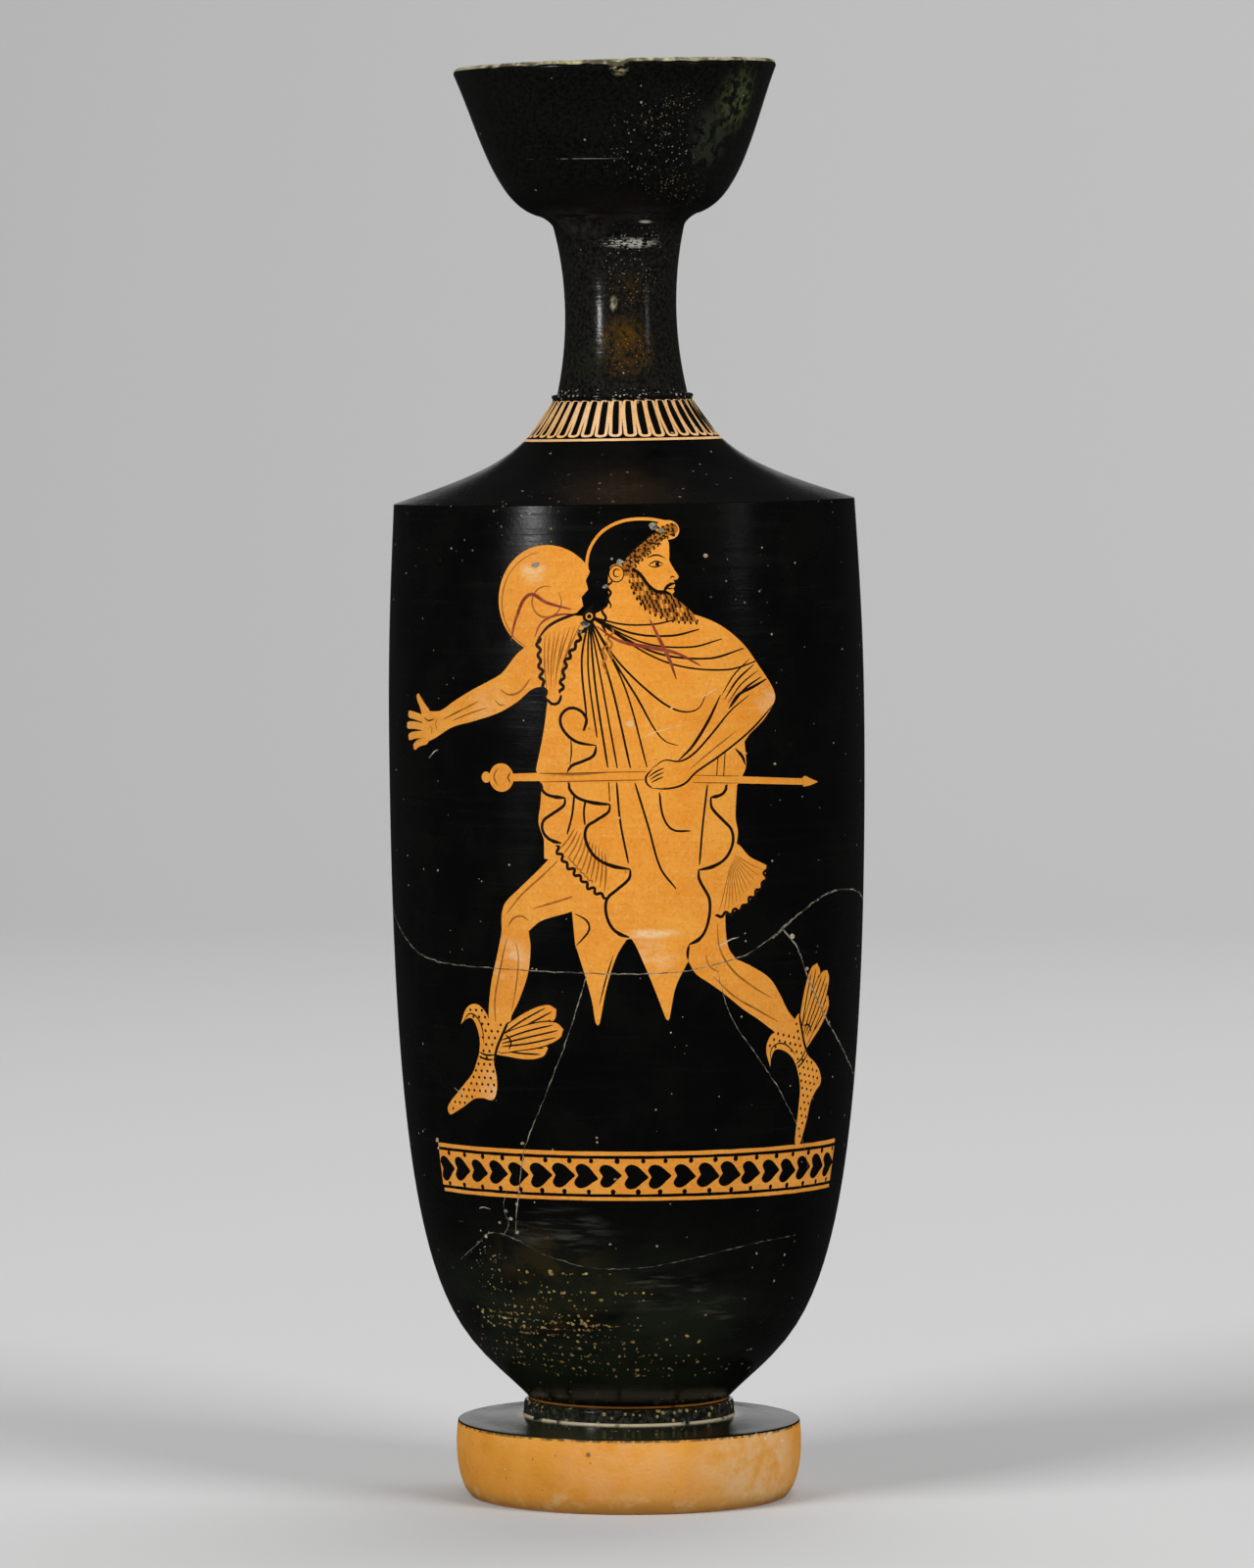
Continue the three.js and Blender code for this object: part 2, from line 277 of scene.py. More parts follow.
class Band:
    """Paint on one unrolled band: closed shapes in millimetres, x round the flask to the right and y up, in
    the order they are brushed. A shape may have a middle line that is sunk into the surface."""

    def __init__(self):
        self.shapes = []

    def shape(self, paint, outline, middle=(), depth=0.0):
        self.shapes.append((paint, outline, list(middle), depth))

    def area(self, paint, *stretches):
        """A shape whose outline is smooth along each stretch and may turn sharply between them."""
        outline = joined(stretches)
        self.shape(paint, outline)
        return outline

    def stroke(self, paint, width, *points, taper=0.35, ends=0.25, step=0.8):
        """One brush line, thinner towards both ends."""
        left, right = sides_of(trail(points, step), width, taper, ends)
        self.shape(paint, left + right[::-1])

    def blob(self, paint, centre, radius, sides=7, stretch=1.0, angle=0.0):
        """A small round or oval spot."""
        turns = [2 * math.pi * k / sides for k in range(sides)]
        spot = [(radius * stretch * math.cos(t), radius * math.sin(t)) for t in turns]
        self.shape(paint, placed(spot, centre, angle))

    def crack(self, paint, width, depth, *points, rng):
        """A mended crack: a thin ragged line with its middle sunk."""
        line = [(x + rng.uniform(-0.12, 0.12), y + rng.uniform(-0.12, 0.12)) for x, y in trail(points, 1.1)]
        left, right = sides_of(line, width, 0.05, 0.5)
        ragged = [(x + rng.uniform(-0.07, 0.07), y + rng.uniform(-0.07, 0.07)) for x, y in left + right[::-1]]
        self.shape(paint, ragged, line[1:-1], depth)

    def chip(self, paint, centre, radius, rng, stretch=1.4, depth=0.12):
        """A small ragged spot where the gloss has come off, sunk in the middle."""
        sides = 7
        spot = []
        for k in range(sides):
            size = radius * rng.uniform(0.65, 1.2)
            turn = 2 * math.pi * k / sides
            spot.append((centre[0] + size * stretch * math.cos(turn), centre[1] + size * math.sin(turn)))
        self.shape(paint, spot, [centre], depth)


def trail(points, step):
    """A smooth line through points."""
    points = list(points)
    if len(points) < 3:
        return points
    line = []
    last = len(points) - 1
    for i in range(last):
        before, start = Vector(points[max(i - 1, 0)]), Vector(points[i])
        end, after = Vector(points[i + 1]), Vector(points[min(i + 2, last)])
        chord = (end - start).length
        leaving = (end - before) * (chord / 3 / max((end - before).length, 1e-9))
        arriving = (after - start) * (chord / 3 / max((after - start).length, 1e-9))
        part = curve(start, leaving, arriving, end, max(2, round(chord / step)))
        line += [tuple(p) for p in part[:-1]]
    line.append(tuple(points[-1]))
    return line


def joined(stretches):
    """The closed outline made of stretches, each starting where the one before ends."""
    outline = []
    start = stretches[-1][-1]
    for stretch in stretches:
        outline += trail([start, *stretch], 0.7)[1:]
        start = stretch[-1]
    return outline


def sides_of(line, width, taper, ends):
    """Both sides of a brush line, which narrows to a share of its width at its ends."""
    lengths = [0.0]
    for a, b in zip(line, line[1:]):
        lengths.append(lengths[-1] + math.dist(a, b))
    total = lengths[-1]
    reach = max(total * taper, 1e-6)
    left, right = [], []
    for i, (x, y) in enumerate(line):
        ax, ay = line[max(i - 1, 0)]
        bx, by = line[min(i + 1, len(line) - 1)]
        size = math.dist((ax, ay), (bx, by)) or 1
        nx, ny = -(by - ay) / size, (bx - ax) / size
        near = min(lengths[i], total - lengths[i]) / reach
        half = width / 2 * (ends + (1 - ends) * min(1, near) ** 0.6)
        left.append((x + nx * half, y + ny * half))
        right.append((x - nx * half, y - ny * half))
    return left, right


def placed(points, at, turn):
    """Points turned round the origin and moved."""
    c, s = math.cos(turn), math.sin(turn)
    return [(at[0] + x * c - y * s, at[1] + x * s + y * c) for x, y in points]


def within(point, outline):
    """True if a point is inside a closed outline."""
    x, y = point
    inside = False
    for (x1, y1), (x2, y2) in zip(outline, outline[1:] + outline[:1]):
        if (y1 > y) != (y2 > y) and x < x1 + (y - y1) / (y2 - y1) * (x2 - x1):
            inside = not inside
    return inside


def between(a, b, share):
    return a[0] + (b[0] - a[0]) * share, a[1] + (b[1] - a[1]) * share


def wavy(points, swing, waves):
    """A line that swings to and fro about a smooth one, like a crimped hem, a little unevenly."""
    line = trail(points, 0.3)
    last = len(line) - 1
    swung = []
    for i, (x, y) in enumerate(line):
        ax, ay = line[max(i - 1, 0)]
        bx, by = line[min(i + 1, last)]
        size = math.dist((ax, ay), (bx, by)) or 1
        share = i / last
        uneven = 1 + 0.35 * math.sin(2 * math.pi * waves * 0.37 * share)
        push = swing * math.sin(2 * math.pi * waves * share) * uneven
        swung.append((x - (by - ay) / size * push, y + (bx - ax) / size * push))
    return swung


def sun_hat(wall):
    """A broad sun hat that hangs on the back, seen from above, with its cord."""
    centre = (-18.6, 213.2)
    wall.blob(CLAY, centre, 12.4, 72)
    for radius, start, end, width in ((11.5, 100, 255, FINE), (3.6, 70, 400, PLAIN)):
        turns = [math.radians(start + (end - start) * k / 14) for k in range(15)]
        ring = [(centre[0] + radius * math.cos(t), centre[1] - 0.6 + radius * math.sin(t)) for t in turns]
        wall.stroke(DILUTE, width, *ring)
    wall.stroke(RED, CORD, (-27.6, 203.6), (-26.2, 209), (-23, 214.2), (-18.6, 212.4), (-12.6, 210.8))
    wall.stroke(RED, PLAIN, (-21.6, 204.4), (-19.8, 207.8), (-15.6, 209.6), (-11, 209.6))


def reaching_arm(wall):
    """The arm stretched out behind, with an open hand."""
    wall.area(CLAY,
              [(-18, 207), (-22, 203.6), (-26, 200.6), (-30, 196.2), (-33.4, 194.4), (-38, 192.4),
               (-44, 189.6), (-49, 187.2), (-53, 186.9)],
              [(-55.6, 188.9), (-58.2, 191)],
              [(-59.2, 190.2), (-57.6, 187.8), (-56.4, 185.6)],
              [(-57, 181), (-55.6, 179.4)],
              [(-51, 180.8), (-45, 183.4), (-38, 185), (-31, 187), (-26, 189.6), (-21.6, 192.8),
               (-17.5, 193)])
    knuckles = [(-56.2, 184.9), (-56.6, 183.2), (-56.4, 181.5), (-55.6, 180.1)]
    tips = [(-63.6, 186), (-64.4, 183.3), (-63.5, 180.5), (-60.8, 178.2)]
    for (kx, ky), (tx, ty) in zip(knuckles, tips):
        wall.stroke(CLAY, 1.75, (kx + 1.5, ky), ((kx + tx) / 2, (ky + ty) / 2 + 0.2), (tx, ty), taper=0.1,
                    ends=0.6)
    for k in range(3):
        root = between(knuckles[k], knuckles[k + 1], 0.5)
        tip = between(tips[k], tips[k + 1], 0.5)
        wall.stroke(LINE, HAIR, root, (tip[0] + 2.4, tip[1]), taper=0.6)
    wall.stroke(LINE, FINE, (-55.6, 185.3), (-53.8, 184.7), (-51.4, 185.2))
    wall.stroke(DILUTE, FINE, (-53.4, 183.6), (-52.4, 182.8), (-52.8, 181.6))
    wall.stroke(DILUTE, FINE, (-50.4, 182.4), (-50.9, 184), (-50.2, 185.6))
    wall.stroke(DILUTE, PLAIN, (-48, 185.2), (-42, 187.4), (-36.5, 189.6))
    wall.stroke(DILUTE, FINE, (-45, 184.9), (-39, 186.8), (-34, 188.2))
    wall.stroke(DILUTE, PLAIN, (-30.6, 192.4), (-28, 191.2), (-25.2, 192), (-22.6, 195))
    wall.stroke(DILUTE, FINE, (-32, 190), (-30.8, 188.9), (-29.2, 188.8))


def forward_leg(wall):
    """The raised leg: thigh, knee and calf."""
    wall.area(CLAY,
              [(-20.5, 151.5), (-26, 146.6), (-29.8, 143.2), (-30.9, 140.2), (-31, 136.5), (-32.4, 131),
               (-34.4, 124), (-35.4, 117), (-35.2, 112)],
              [(-30.2, 113), (-28.9, 117)],
              [(-26.6, 121), (-24.2, 127), (-23.4, 133), (-23.8, 136.8)],
              [(-20.6, 139.2), (-14, 141.2), (-8.5, 143.2), (-5, 144.6)],
              [(-5, 158), (-12, 160)])
    wall.stroke(DILUTE, PLAIN, (-29.6, 140.6), (-25.6, 145), (-20.4, 149.4), (-16, 153.4))
    wall.stroke(DILUTE, PLAIN, (-22.6, 142), (-16.4, 143.8), (-9.6, 146))
    wall.stroke(DILUTE, PLAIN, (-29.2, 137.6), (-27.8, 139.6), (-25.4, 140.2), (-23.8, 139.2))
    wall.stroke(DILUTE, PLAIN, (-33.4, 115), (-33.4, 120.6), (-31.6, 128), (-29.6, 135))
    wall.stroke(DILUTE, FINE, (-28.8, 118), (-27.4, 124), (-26.6, 130.6), (-27.2, 134))


def trailing_leg(wall):
    """The leg pushed out behind."""
    wall.area(CLAY,
              [(16, 142), (14.2, 135), (14, 130.2)],
              [(16, 127), (19.6, 124.6), (23.4, 122), (28, 118.6), (33, 115.6), (38.4, 112.2)],
              [(44, 110), (45, 114.4)],
              [(41.6, 117.4), (38.8, 121.4), (35.6, 125.2), (30, 128.4), (26.2, 130)],
              [(24.2, 132.6), (23.4, 136.6), (23.2, 142)])
    wall.stroke(DILUTE, PLAIN, (21.2, 138.6), (22, 132.4), (25.4, 127.4), (31, 123.4), (36.4, 120.6))
    wall.stroke(DILUTE, PLAIN, (20.4, 126.2), (25.6, 121.6), (32.4, 118), (38.6, 115))
    wall.stroke(DILUTE, FINE, (18.4, 131.4), (19.4, 128.6), (21.8, 127.2))


def tunic(wall):
    """The short crimped tunic that shows below the cloak at both sides, its fine pleats in thinned slip."""
    near_hem = [(-16.8, 156.6), (-14.6, 152.8), (-11.4, 149.6), (-8.2, 146.6), (-4.8, 144.6)]
    far_hem = [(34.2, 151.4), (33.6, 147.8), (30.8, 144.6), (27, 141.6), (20.4, 139.8)]
    wall.area(CLAY, [(-4, 160)], [(-11.5, 161.4)], [near_hem[0]], near_hem[1:])
    wall.area(CLAY, [(19, 156)], [(26, 156.6), (29.4, 153.6), far_hem[0]], far_hem[1:])
    for k in range(11):
        share = k / 10
        top = (-12.2 + 7 * share, 160.6 - 5.4 * share)
        foot = (-16 + 10.6 * share, 155.6 - 9.6 * share)
        middle = between(top, foot, 0.5)
        wall.stroke(DILUTE, SLIM, top, (middle[0] + 0.3, middle[1]), foot, taper=0.2)
    for k in range(12):
        share = k / 11
        top = (24.4 + 1.4 * share, 151.6 + 2.4 * share)
        foot = (21.6 + 11.4 * share ** 0.9, 140.8 + 9.6 * share ** 1.5)
        middle = between(top, foot, 0.55)
        wall.stroke(DILUTE, 0.22, top, (middle[0], middle[1] - 0.3), foot, taper=0.3)
    for hem in (near_hem, far_hem):
        wall.stroke(LINE, BOLD, *wavy(hem, 0.5, 8)[::2], taper=0.03, step=9)
    inner = [(x * 0.94 - 0.2, y + 1.2) for x, y in near_hem[1:-1]]
    wall.stroke(DILUTE, 0.38, *wavy(inner, 0.25, 7)[::2], taper=0.05, step=9)


def cloak(wall):
    """The short travelling cloak, pinned on one shoulder, with two hanging corners."""
    wall.area(CLAY,
              [(-13, 208.8), (-18, 206.6), (-20.2, 202)],
              [(-20.2, 196), (-18.4, 190)],
              [(-19.4, 183), (-21.4, 174)],
              [(-20.2, 170.4), (-20.4, 166), (-20.9, 162), (-19.6, 158)],
              [(-19.6, 153.6)],
              [(-13.8, 152), (-13, 141), (-12.4, 134)],
              [(-10.4, 127.6), (-8.6, 121), (-7.9, 116.4)],
              [(-7.2, 115.2), (-6.6, 116.6)],
              [(-4.9, 124.6), (-2.6, 131.4), (-0.4, 135)],
              [(0.8, 135.2), (3.6, 129.6), (6.4, 123), (8.6, 117.4)],
              [(9.4, 116.3), (9.9, 117.6)],
              [(11.2, 124), (14.2, 130)],
              [(14.6, 134), (17, 137), (20.4, 140.6)],
              [(21.6, 150), (26, 156)],
              [(26.4, 159.4), (25.8, 162.6), (26.2, 170)],
              [(28.4, 173.6), (28.6, 176), (28.2, 180)],
              [(33, 185.4), (36.2, 188)],
              [(36.9, 190), (36, 192.4), (32.4, 197.2), (28, 202.6), (22, 207), (15, 209.6), (8, 210.6)],
              [(-2, 211.4), (-8.5, 210.4)])


PIN = (-8.4, 209.2)


def cloak_folds(wall):
    """Folds that fan out from the pin: round ones over the chest, long ones down the front."""
    for k in range(5):
        end = (11.6 + 5.6 * k, 208.2 - 2.3 * k)
        sag = 1.5 + 1.2 * k
        low = between(PIN, end, 0.4)
        far = between(PIN, end, 0.75)
        wall.stroke(LINE, PLAIN if k % 2 else SLIM, PIN, (low[0], low[1] - sag),
                    (far[0], far[1] - sag * 0.8), end, taper=0.15, ends=0.5)
    wall.stroke(LINE, PLAIN, PIN, (-2.4, 199.6), (5, 192), (11.4, 187.6), (16.4, 187.6), (18.8, 191.4))
    wall.stroke(LINE, PLAIN, PIN, (-3, 199.4), (2.4, 190.6), (6.6, 183), (9, 180.4), (12, 179.4))
    for k, (end, spread) in enumerate((((-9.2, 186.4), -1.4), ((-6.8, 181.4), -1.1), ((-4.4, 174.6), -0.7),
                                       ((-2.2, 174.4), -0.2), ((0.8, 174.4), 0.4), ((4.6, 174.6), 1.4))):
        middle = between(PIN, end, 0.5)
        wall.stroke(LINE, SLIM if k % 2 else PLAIN, PIN, (middle[0] + spread, middle[1] + 1.5), end,
                    taper=0.08, ends=0.6)
    below = [
        [(-4.2, 171.2), (-4, 166.8)], [(-2.4, 171.2), (-1.6, 162), (0.2, 152.6)],
        [(1.8, 171), (4.8, 161), (7.6, 151.4), (11.2, 146.6)],
        [(7.4, 168.8), (8.2, 163.4), (10.4, 160.2), (14.6, 159.8)],
        [(18.8, 170.4), (17.6, 161), (16.8, 152)], [(-12.2, 168.4), (-12.8, 163.6), (-14, 159.2)],
        [(-9.6, 167.2), (-10, 164.4), (-9.8, 161.4)], [(21.4, 176.4), (21, 171.4)],
        [(23.2, 177.6), (22.8, 172.2)],
    ]
    for points in below:
        wall.stroke(LINE, PLAIN, *points, taper=0.1, ends=0.5)
    wall.stroke(LINE, FINE, (-3.4, 131.6), (-5.2, 126), (-6.8, 120))


def cascade(wall, start, *folds):
    """A hanging hem folded to and fro. Each fold hooks back from the last fold's tip, drops on its inner side
    and sweeps out to its own tip, where the brush was pressed down."""
    tip = start
    for inner, end in folds:
        reach, back, drop = tip[0] - inner[0], end[0] - inner[0], inner[1] - end[1]
        fall = tip[1] - inner[1]
        wall.stroke(LINE, BOLD, tip, (tip[0] - reach * 0.04, tip[1] - fall * 0.28),
                    (inner[0] + reach * 0.42, inner[1] + fall * 0.34),
                    (inner[0] + reach * 0.08, inner[1] + fall * 0.1),
                    (inner[0] + back * 0.01, inner[1] - drop * 0.25),
                    (inner[0] + back * 0.2, inner[1] - drop * 0.66),
                    (inner[0] + back * 0.55, inner[1] - drop * 0.9), end, taper=0.12, ends=0.5)
        wall.stroke(LINE, HEAVY, (inner[0] + back * 0.3, inner[1] - drop * 0.76),
                    (inner[0] + back * 0.6, inner[1] - drop * 0.915), end, taper=0.5)
        tip = end


def hems(wall):
    """The cloak's hanging edges, and the curled fold under the sleeve."""
    wall.stroke(LINE, BOLD, (-9.3, 184.6), (-9.9, 182.9), (-9.2, 185.6), (-10.6, 187.6), (-13.2, 188.2),
                (-15.3, 186.2), (-14.8, 183.4), (-11.8, 180.6), (-7, 179.6), taper=0.15)
    wall.stroke(LINE, BOLD, (-7, 179.6), (-7.6, 177.4), (-10.2, 176), (-12.8, 175), (-13.9, 173.4),
                taper=0.15)
    wall.stroke(LINE, FINE, (-12.9, 181.4), (-12.8, 178), (-13.2, 175.2))
    cascade(wall, (-20.2, 171), ((-20, 170), (-14.4, 167.6)), ((-20.1, 161.8), (-15.4, 157.2)))
    cascade(wall, (-13.6, 171.2), ((-13.4, 170.8), (-4, 166.1)), ((-9.8, 160.4), (0.6, 151.2)),
            ((-5.2, 143.8), (0.3, 135.6)))
    cascade(wall, (23.6, 170.2), ((23.4, 169.8), (19.6, 167.4)), ((25.2, 159), (16.6, 150.8)),
            ((19.4, 143.6), (14.4, 133.8)))
    wall.stroke(LINE, BOLD, (14.4, 133.8), (14, 132), (14.1, 130.2))
    wall.stroke(LINE, BOLD, (25.8, 178.4), (27.6, 176.6), (28.4, 174.6))
    wall.stroke(LINE, PLAIN, (-12.4, 141), (-9.6, 139.4), (-9, 137.4), (-10.6, 135.2), (-12.2, 133.6))
    wall.stroke(LINE, FINE, (-13, 138.6), (-12.9, 135.6))


def sleeve(wall):
    """The tunic's crimped sleeve over the shoulder of the outstretched arm."""
    outer = [(-20.6, 204.6), (-20.4, 200), (-19.9, 196), (-19.2, 192.6), (-18.4, 190.2)]
    inner = [(-9.6, 206.8), (-11.4, 203), (-13.6, 199.4), (-14.7, 195.2), (-15.2, 191.2)]
    for k in range(8):
        share = k / 7
        top = (-19 + 8.6 * share, 205.2 + 2.4 * share)
        foot = (-18.6 + 3.4 * share, 192 + (k % 2) * 3 + 1.5 * share)
        middle = between(top, foot, 0.5)
        wall.stroke(DILUTE, 0.4, top, (middle[0] - 0.3, middle[1]), foot, taper=0.5, ends=0.2)
    for edge, waves in ((outer, 6), (inner, 7)):
        wall.stroke(LINE, 0.8, *wavy(edge, 0.42, waves)[::2], taper=0.03, step=9)
    wall.stroke(LINE, BOLD, (-18.4, 190.2), (-17.4, 189.2), (-15.8, 189.4), (-15.1, 191.2), taper=0.1,
                ends=0.7)
    wall.stroke(LINE, BOLD, (-21, 203.6), (-18.2, 206.9), (-14, 209), (-9.4, 210.3))


def staff(wall):
    """A plain walking staff with a ball knob and a pointed ferrule."""
    wall.area(CLAY, [(-27.6, 173), (5, 173.4)], [(5, 171.9)], [(-27.6, 171.3)])
    wall.area(CLAY, [(12, 172.6), (46, 170.9)], [(46, 169.4)], [(12, 171.2)])
    for start, end in (((-20.6, 173.2), (4.6, 173.6)), ((-20.6, 171.2), (4.2, 171.7)),
                       ((14.6, 172.6), (26.6, 172.1)), ((15.4, 170.9), (26.4, 170.5))):
        wall.stroke(LINE, PLAIN, start, end, taper=0.03)
    wall.blob(CLAY, (-30.4, 172.1), 3.3, 26)
    wall.stroke(LINE, FINE, (-27.9, 173.4), (-28.6, 172.1), (-27.9, 170.9))
    wall.blob(CLAY, (-34.6, 172.1), 1.3, 14)
    wall.stroke(DILUTE, PLAIN, (-31.2, 174.2), (-32.4, 172.4), (-31.4, 170.2))
    wall.area(CLAY, [(45.6, 171.3), (48, 170.8), (51, 169.9)], [(48, 169.2), (45.6, 169)])
    wall.stroke(LINE, HAIR, (45.4, 171.1), (45.3, 169.3))


def holding_arm(wall):
    """Forearm across the body, with the hand closed round the staff."""
    wall.area(CLAY,
              [(33, 194), (27, 190), (22.4, 184.6), (16.4, 178.4), (12, 175.8)],
              [(8.6, 176), (5.8, 174.2)],
              [(4.2, 171.8), (5.4, 170), (9, 169.6), (13, 170.2)],
              [(18, 174.4), (26, 179.2), (33, 184.4), (36.2, 188)],
              [(36.9, 190), (35.6, 192.4)])
    wall.stroke(LINE, PLAIN, (29.6, 190.6), (24.8, 187.2), (19.8, 181.8), (15.4, 177.4), (12.2, 175.8),
                (8.6, 176.1), (5.8, 174.3))
    wall.stroke(LINE, PLAIN, (36.3, 188.2), (30, 182.6), (22, 177), (16, 173.2), (13.2, 170.6), (9.4, 169.6),
                (6, 169.7), taper=0.15)
    for k in range(3):
        share = k / 2
        root = (8.6 - 0.2 * share, 174.4 - 2 * share)
        wall.stroke(LINE, FINE, root, (root[0] - 2, root[1] - 0.9), (4.9 + 0.7 * share, 172.3 - 1.3 * share))
    wall.stroke(LINE, PLAIN, (5.8, 174.2), (4.3, 172.2), (4.7, 170.6), (6, 169.7))
    wall.stroke(DILUTE, FINE, (14.6, 174), (20, 178.2), (26, 182.4))
    for k in range(4):
        share = k / 3
        wall.stroke(LINE, PLAIN if k % 2 else FINE, (30 + 3.2 * share, 199 - 4.2 * share),
                    (25.6 + 2.8 * share, 195.2 - 3.2 * share), (22.4 + 2.4 * share, 190.6 - 2.6 * share))
    wall.stroke(LINE, BOLD, (34.6, 194.2), (30.6, 192.4), (26.6, 190.6), (24.2, 187.6))
    wall.stroke(LINE, BOLD, (22.2, 190.8), (19, 184.8), (15.2, 179.2), (11.8, 175.9))


def lappet(wall, root, length, width, angle, at, turn):
    """One loose leather flap of a boot top, blown back: a rounded tongue with sewn lines along it."""
    def put(points):
        return placed(placed(points, root, angle), at, turn)

    half = width / 2
    for paint, more in ((LINE, 0.3), (CLAY, 0.0)):
        wide, tip = half + more, length + more
        edge = put([(0, -wide * 0.5), (tip * 0.35, -wide * 0.9), (tip * 0.7, -wide),
                    (tip * 0.93, -wide * 0.66), (tip, 0), (tip * 0.93, wide * 0.66), (tip * 0.7, wide),
                    (tip * 0.35, wide * 0.9), (0, wide * 0.5)])
        wall.area(paint, edge[:5], edge[5:])
    for side in (-0.55, 0, 0.55):
        wall.stroke(LINE, SLIM, *put([(length * 0.12, side * half * 0.5), (length * 0.5, side * half * 0.95),
                                      (length * (0.93 - 0.1 * abs(side)), side * half)]),
                    taper=0.15, ends=0.4)
    seam = [(length * 0.2, -half * 0.7), (length * 0.26, 0), (length * 0.2, half * 0.7)]
    wall.stroke(LINE, PLAIN, *put(seam))


def boot(wall, ankle, turn):
    """A soft spotted boot with a curled tongue in front and three flying lappets behind."""
    def put(*points):
        return placed(points, ankle, turn)

    for number, (length, angle) in enumerate(((15.5, -1), (19.5, 27), (19, 13))):
        lappet(wall, (1.4 + 0.5 * number, 3.0), length, 5.4, math.radians(angle), ankle, turn)
    upper = wall.area(
        CLAY,
        put((1.8, 7.6), (0.2, 10.6), (-2.6, 12.4), (-5.8, 11.2), (-7.9, 7.4)),
        put((-6.6, 8.4), (-4.2, 9), (-2.5, 6.6), (-1.9, 3.4), (-2.4, 0.6)),
        put((-4.6, -3.6), (-8.6, -7.2), (-13, -10.6)),
        put((-14.9, -12.6), (-14.2, -14), (-12, -13.4)),
        put((-8.4, -11.8), (-4.6, -9.8), (-1.6, -9.5)),
        put((1.2, -9.8), (2.5, -7.6), (2.7, -4.6), (2.1, -1.4)),
        put((2.9, 2), (4.8, 5.4), (6.8, 9)),
        put((4.4, 9), (2.2, 8.2)))
    gap = 1.8
    for row in range(-9, 8):
        for column in range(-9, 6):
            spot = ((column + 0.5 * (row % 2)) * gap, row * gap * 0.87)
            around = put(*[(spot[0] + dx, spot[1] + dy)
                           for dx, dy in ((0.6, 0), (-0.6, 0), (0, 0.6), (0, -0.6))])
            if all(within(p, upper) for p in around):
                wall.blob(LINE, put(spot)[0], 0.37, 7)
    wall.stroke(LINE, PLAIN, *put((-2.3, 1.2), (0, 0.6), (2.5, 0.8)))
    wall.stroke(LINE, PLAIN, *put((-2.6, 0.2), (0, -0.4), (2.2, -0.3)))
    wall.stroke(LINE, BOLD, *put((2.2, -1.2), (3, 2), (4.8, 5.4), (6.6, 8.6)), taper=0.1)
    wall.stroke(LINE, FINE, *put((-7, 8), (-4.9, 10), (-2.6, 9.4), (-1, 6.8), (-0.7, 3)))


def head(wall):
    """The bearded head in profile: black hair in a rolled fringe of curls, and a plain scheme of a face."""
    wall.area(GLOSS, [(-9, 222), (-8.2, 219.4)], [(-9.2, 217.4)], [(-8.6, 215.4)], [(-10.2, 213.6)],
              [(-9.8, 211.6)], [(-12, 209.4)],
              [(-8.6, 209.4), (-5.6, 210.6), (-4.6, 213), (-4.2, 216), (-3.8, 220)],
              [(2, 226)], [(-2, 229)])
    wall.area(CLAY, [(-2.6, 221), (-4, 216.4), (-3.8, 212.4), (-5.4, 209.8)], [(9, 209.6)],
              [(9.6, 213), (8, 219)])
    wall.stroke(CLAY, BOLD, (-8.7, 218.6), (-8.9, 221.6), (-8, 225), (-5.2, 228.6), (-0.4, 230.9),
                (5.4, 231.3), (10.6, 230.4), taper=0.04, ends=0.6)
    # Even thirds from hairline to chin.
    hairline, chin, front = 226.8, 212.6, 11.0
    third = (hairline - chin) / 3
    brow = hairline - third
    base = brow - third
    lips = base - third * 0.42
    wall.area(CLAY,
              [(front - 1.1, hairline), (front - 0.5, brow + 1.3), (front - 0.6, brow - 0.3)],
              [(front + 0.5, brow - 2.3), (front + 1.6, base + 0.8)],
              [(front + 1.3, base + 0.1), (front + 0.3, base)],
              [(front + 0.7, lips + 0.7), (front + 0.2, lips)],
              [(front + 0.5, lips - 0.7), (front - 0.1, lips - 1.3)],
              [(front + 0.1, chin + 0.9), (front - 0.9, chin)],
              [(5.6, 213.4), (1.8, 216), (0, 219.6), (2.6, 223.4), (6.8, 226.8)])
    beard(wall, base, lips)
    fringe(wall)
    # Features
    eye = (front - 3.6, brow - 1.2)
    wall.stroke(LINE, FINE, (eye[0] - 2, eye[1] - 0.2), (eye[0] - 0.3, eye[1] + 0.75),
                (eye[0] + 1.7, eye[1] + 0.15))
    wall.stroke(LINE, 0.3, (eye[0] - 2, eye[1] - 0.2), (eye[0] - 0.1, eye[1] - 0.6), (eye[0] + 1.6, eye[1]))
    wall.blob(LINE, (eye[0] + 0.2, eye[1] + 0.06), 0.5, 10)
    wall.stroke(LINE, 0.4, (eye[0] - 2.3, eye[1] + 1.5), (eye[0], eye[1] + 2.2), (eye[0] + 2, eye[1] + 1.5))
    wall.stroke(LINE, 0.32, (front + 0.7, base + 0.5), (front, base + 0.8), (front - 0.4, base + 0.2))
    wall.stroke(LINE, 0.38, (front + 0.2, lips), (front - 0.7, lips - 0.05), (front - 1.5, lips + 0.1))
    # Ear
    ear = (-2.0, 218.9)
    wall.blob(LINE, ear, 2.05, 20, 0.92)
    wall.blob(CLAY, ear, 1.75, 20, 0.92)
    wall.stroke(LINE, FINE, (ear[0] + 0.9, ear[1] + 0.7), (ear[0] - 0.1, ear[1] + 1.1),
                (ear[0] - 0.7, ear[1] + 0.2), (ear[0] - 0.2, ear[1] - 0.7), (ear[0] + 0.6, ear[1] - 0.6))


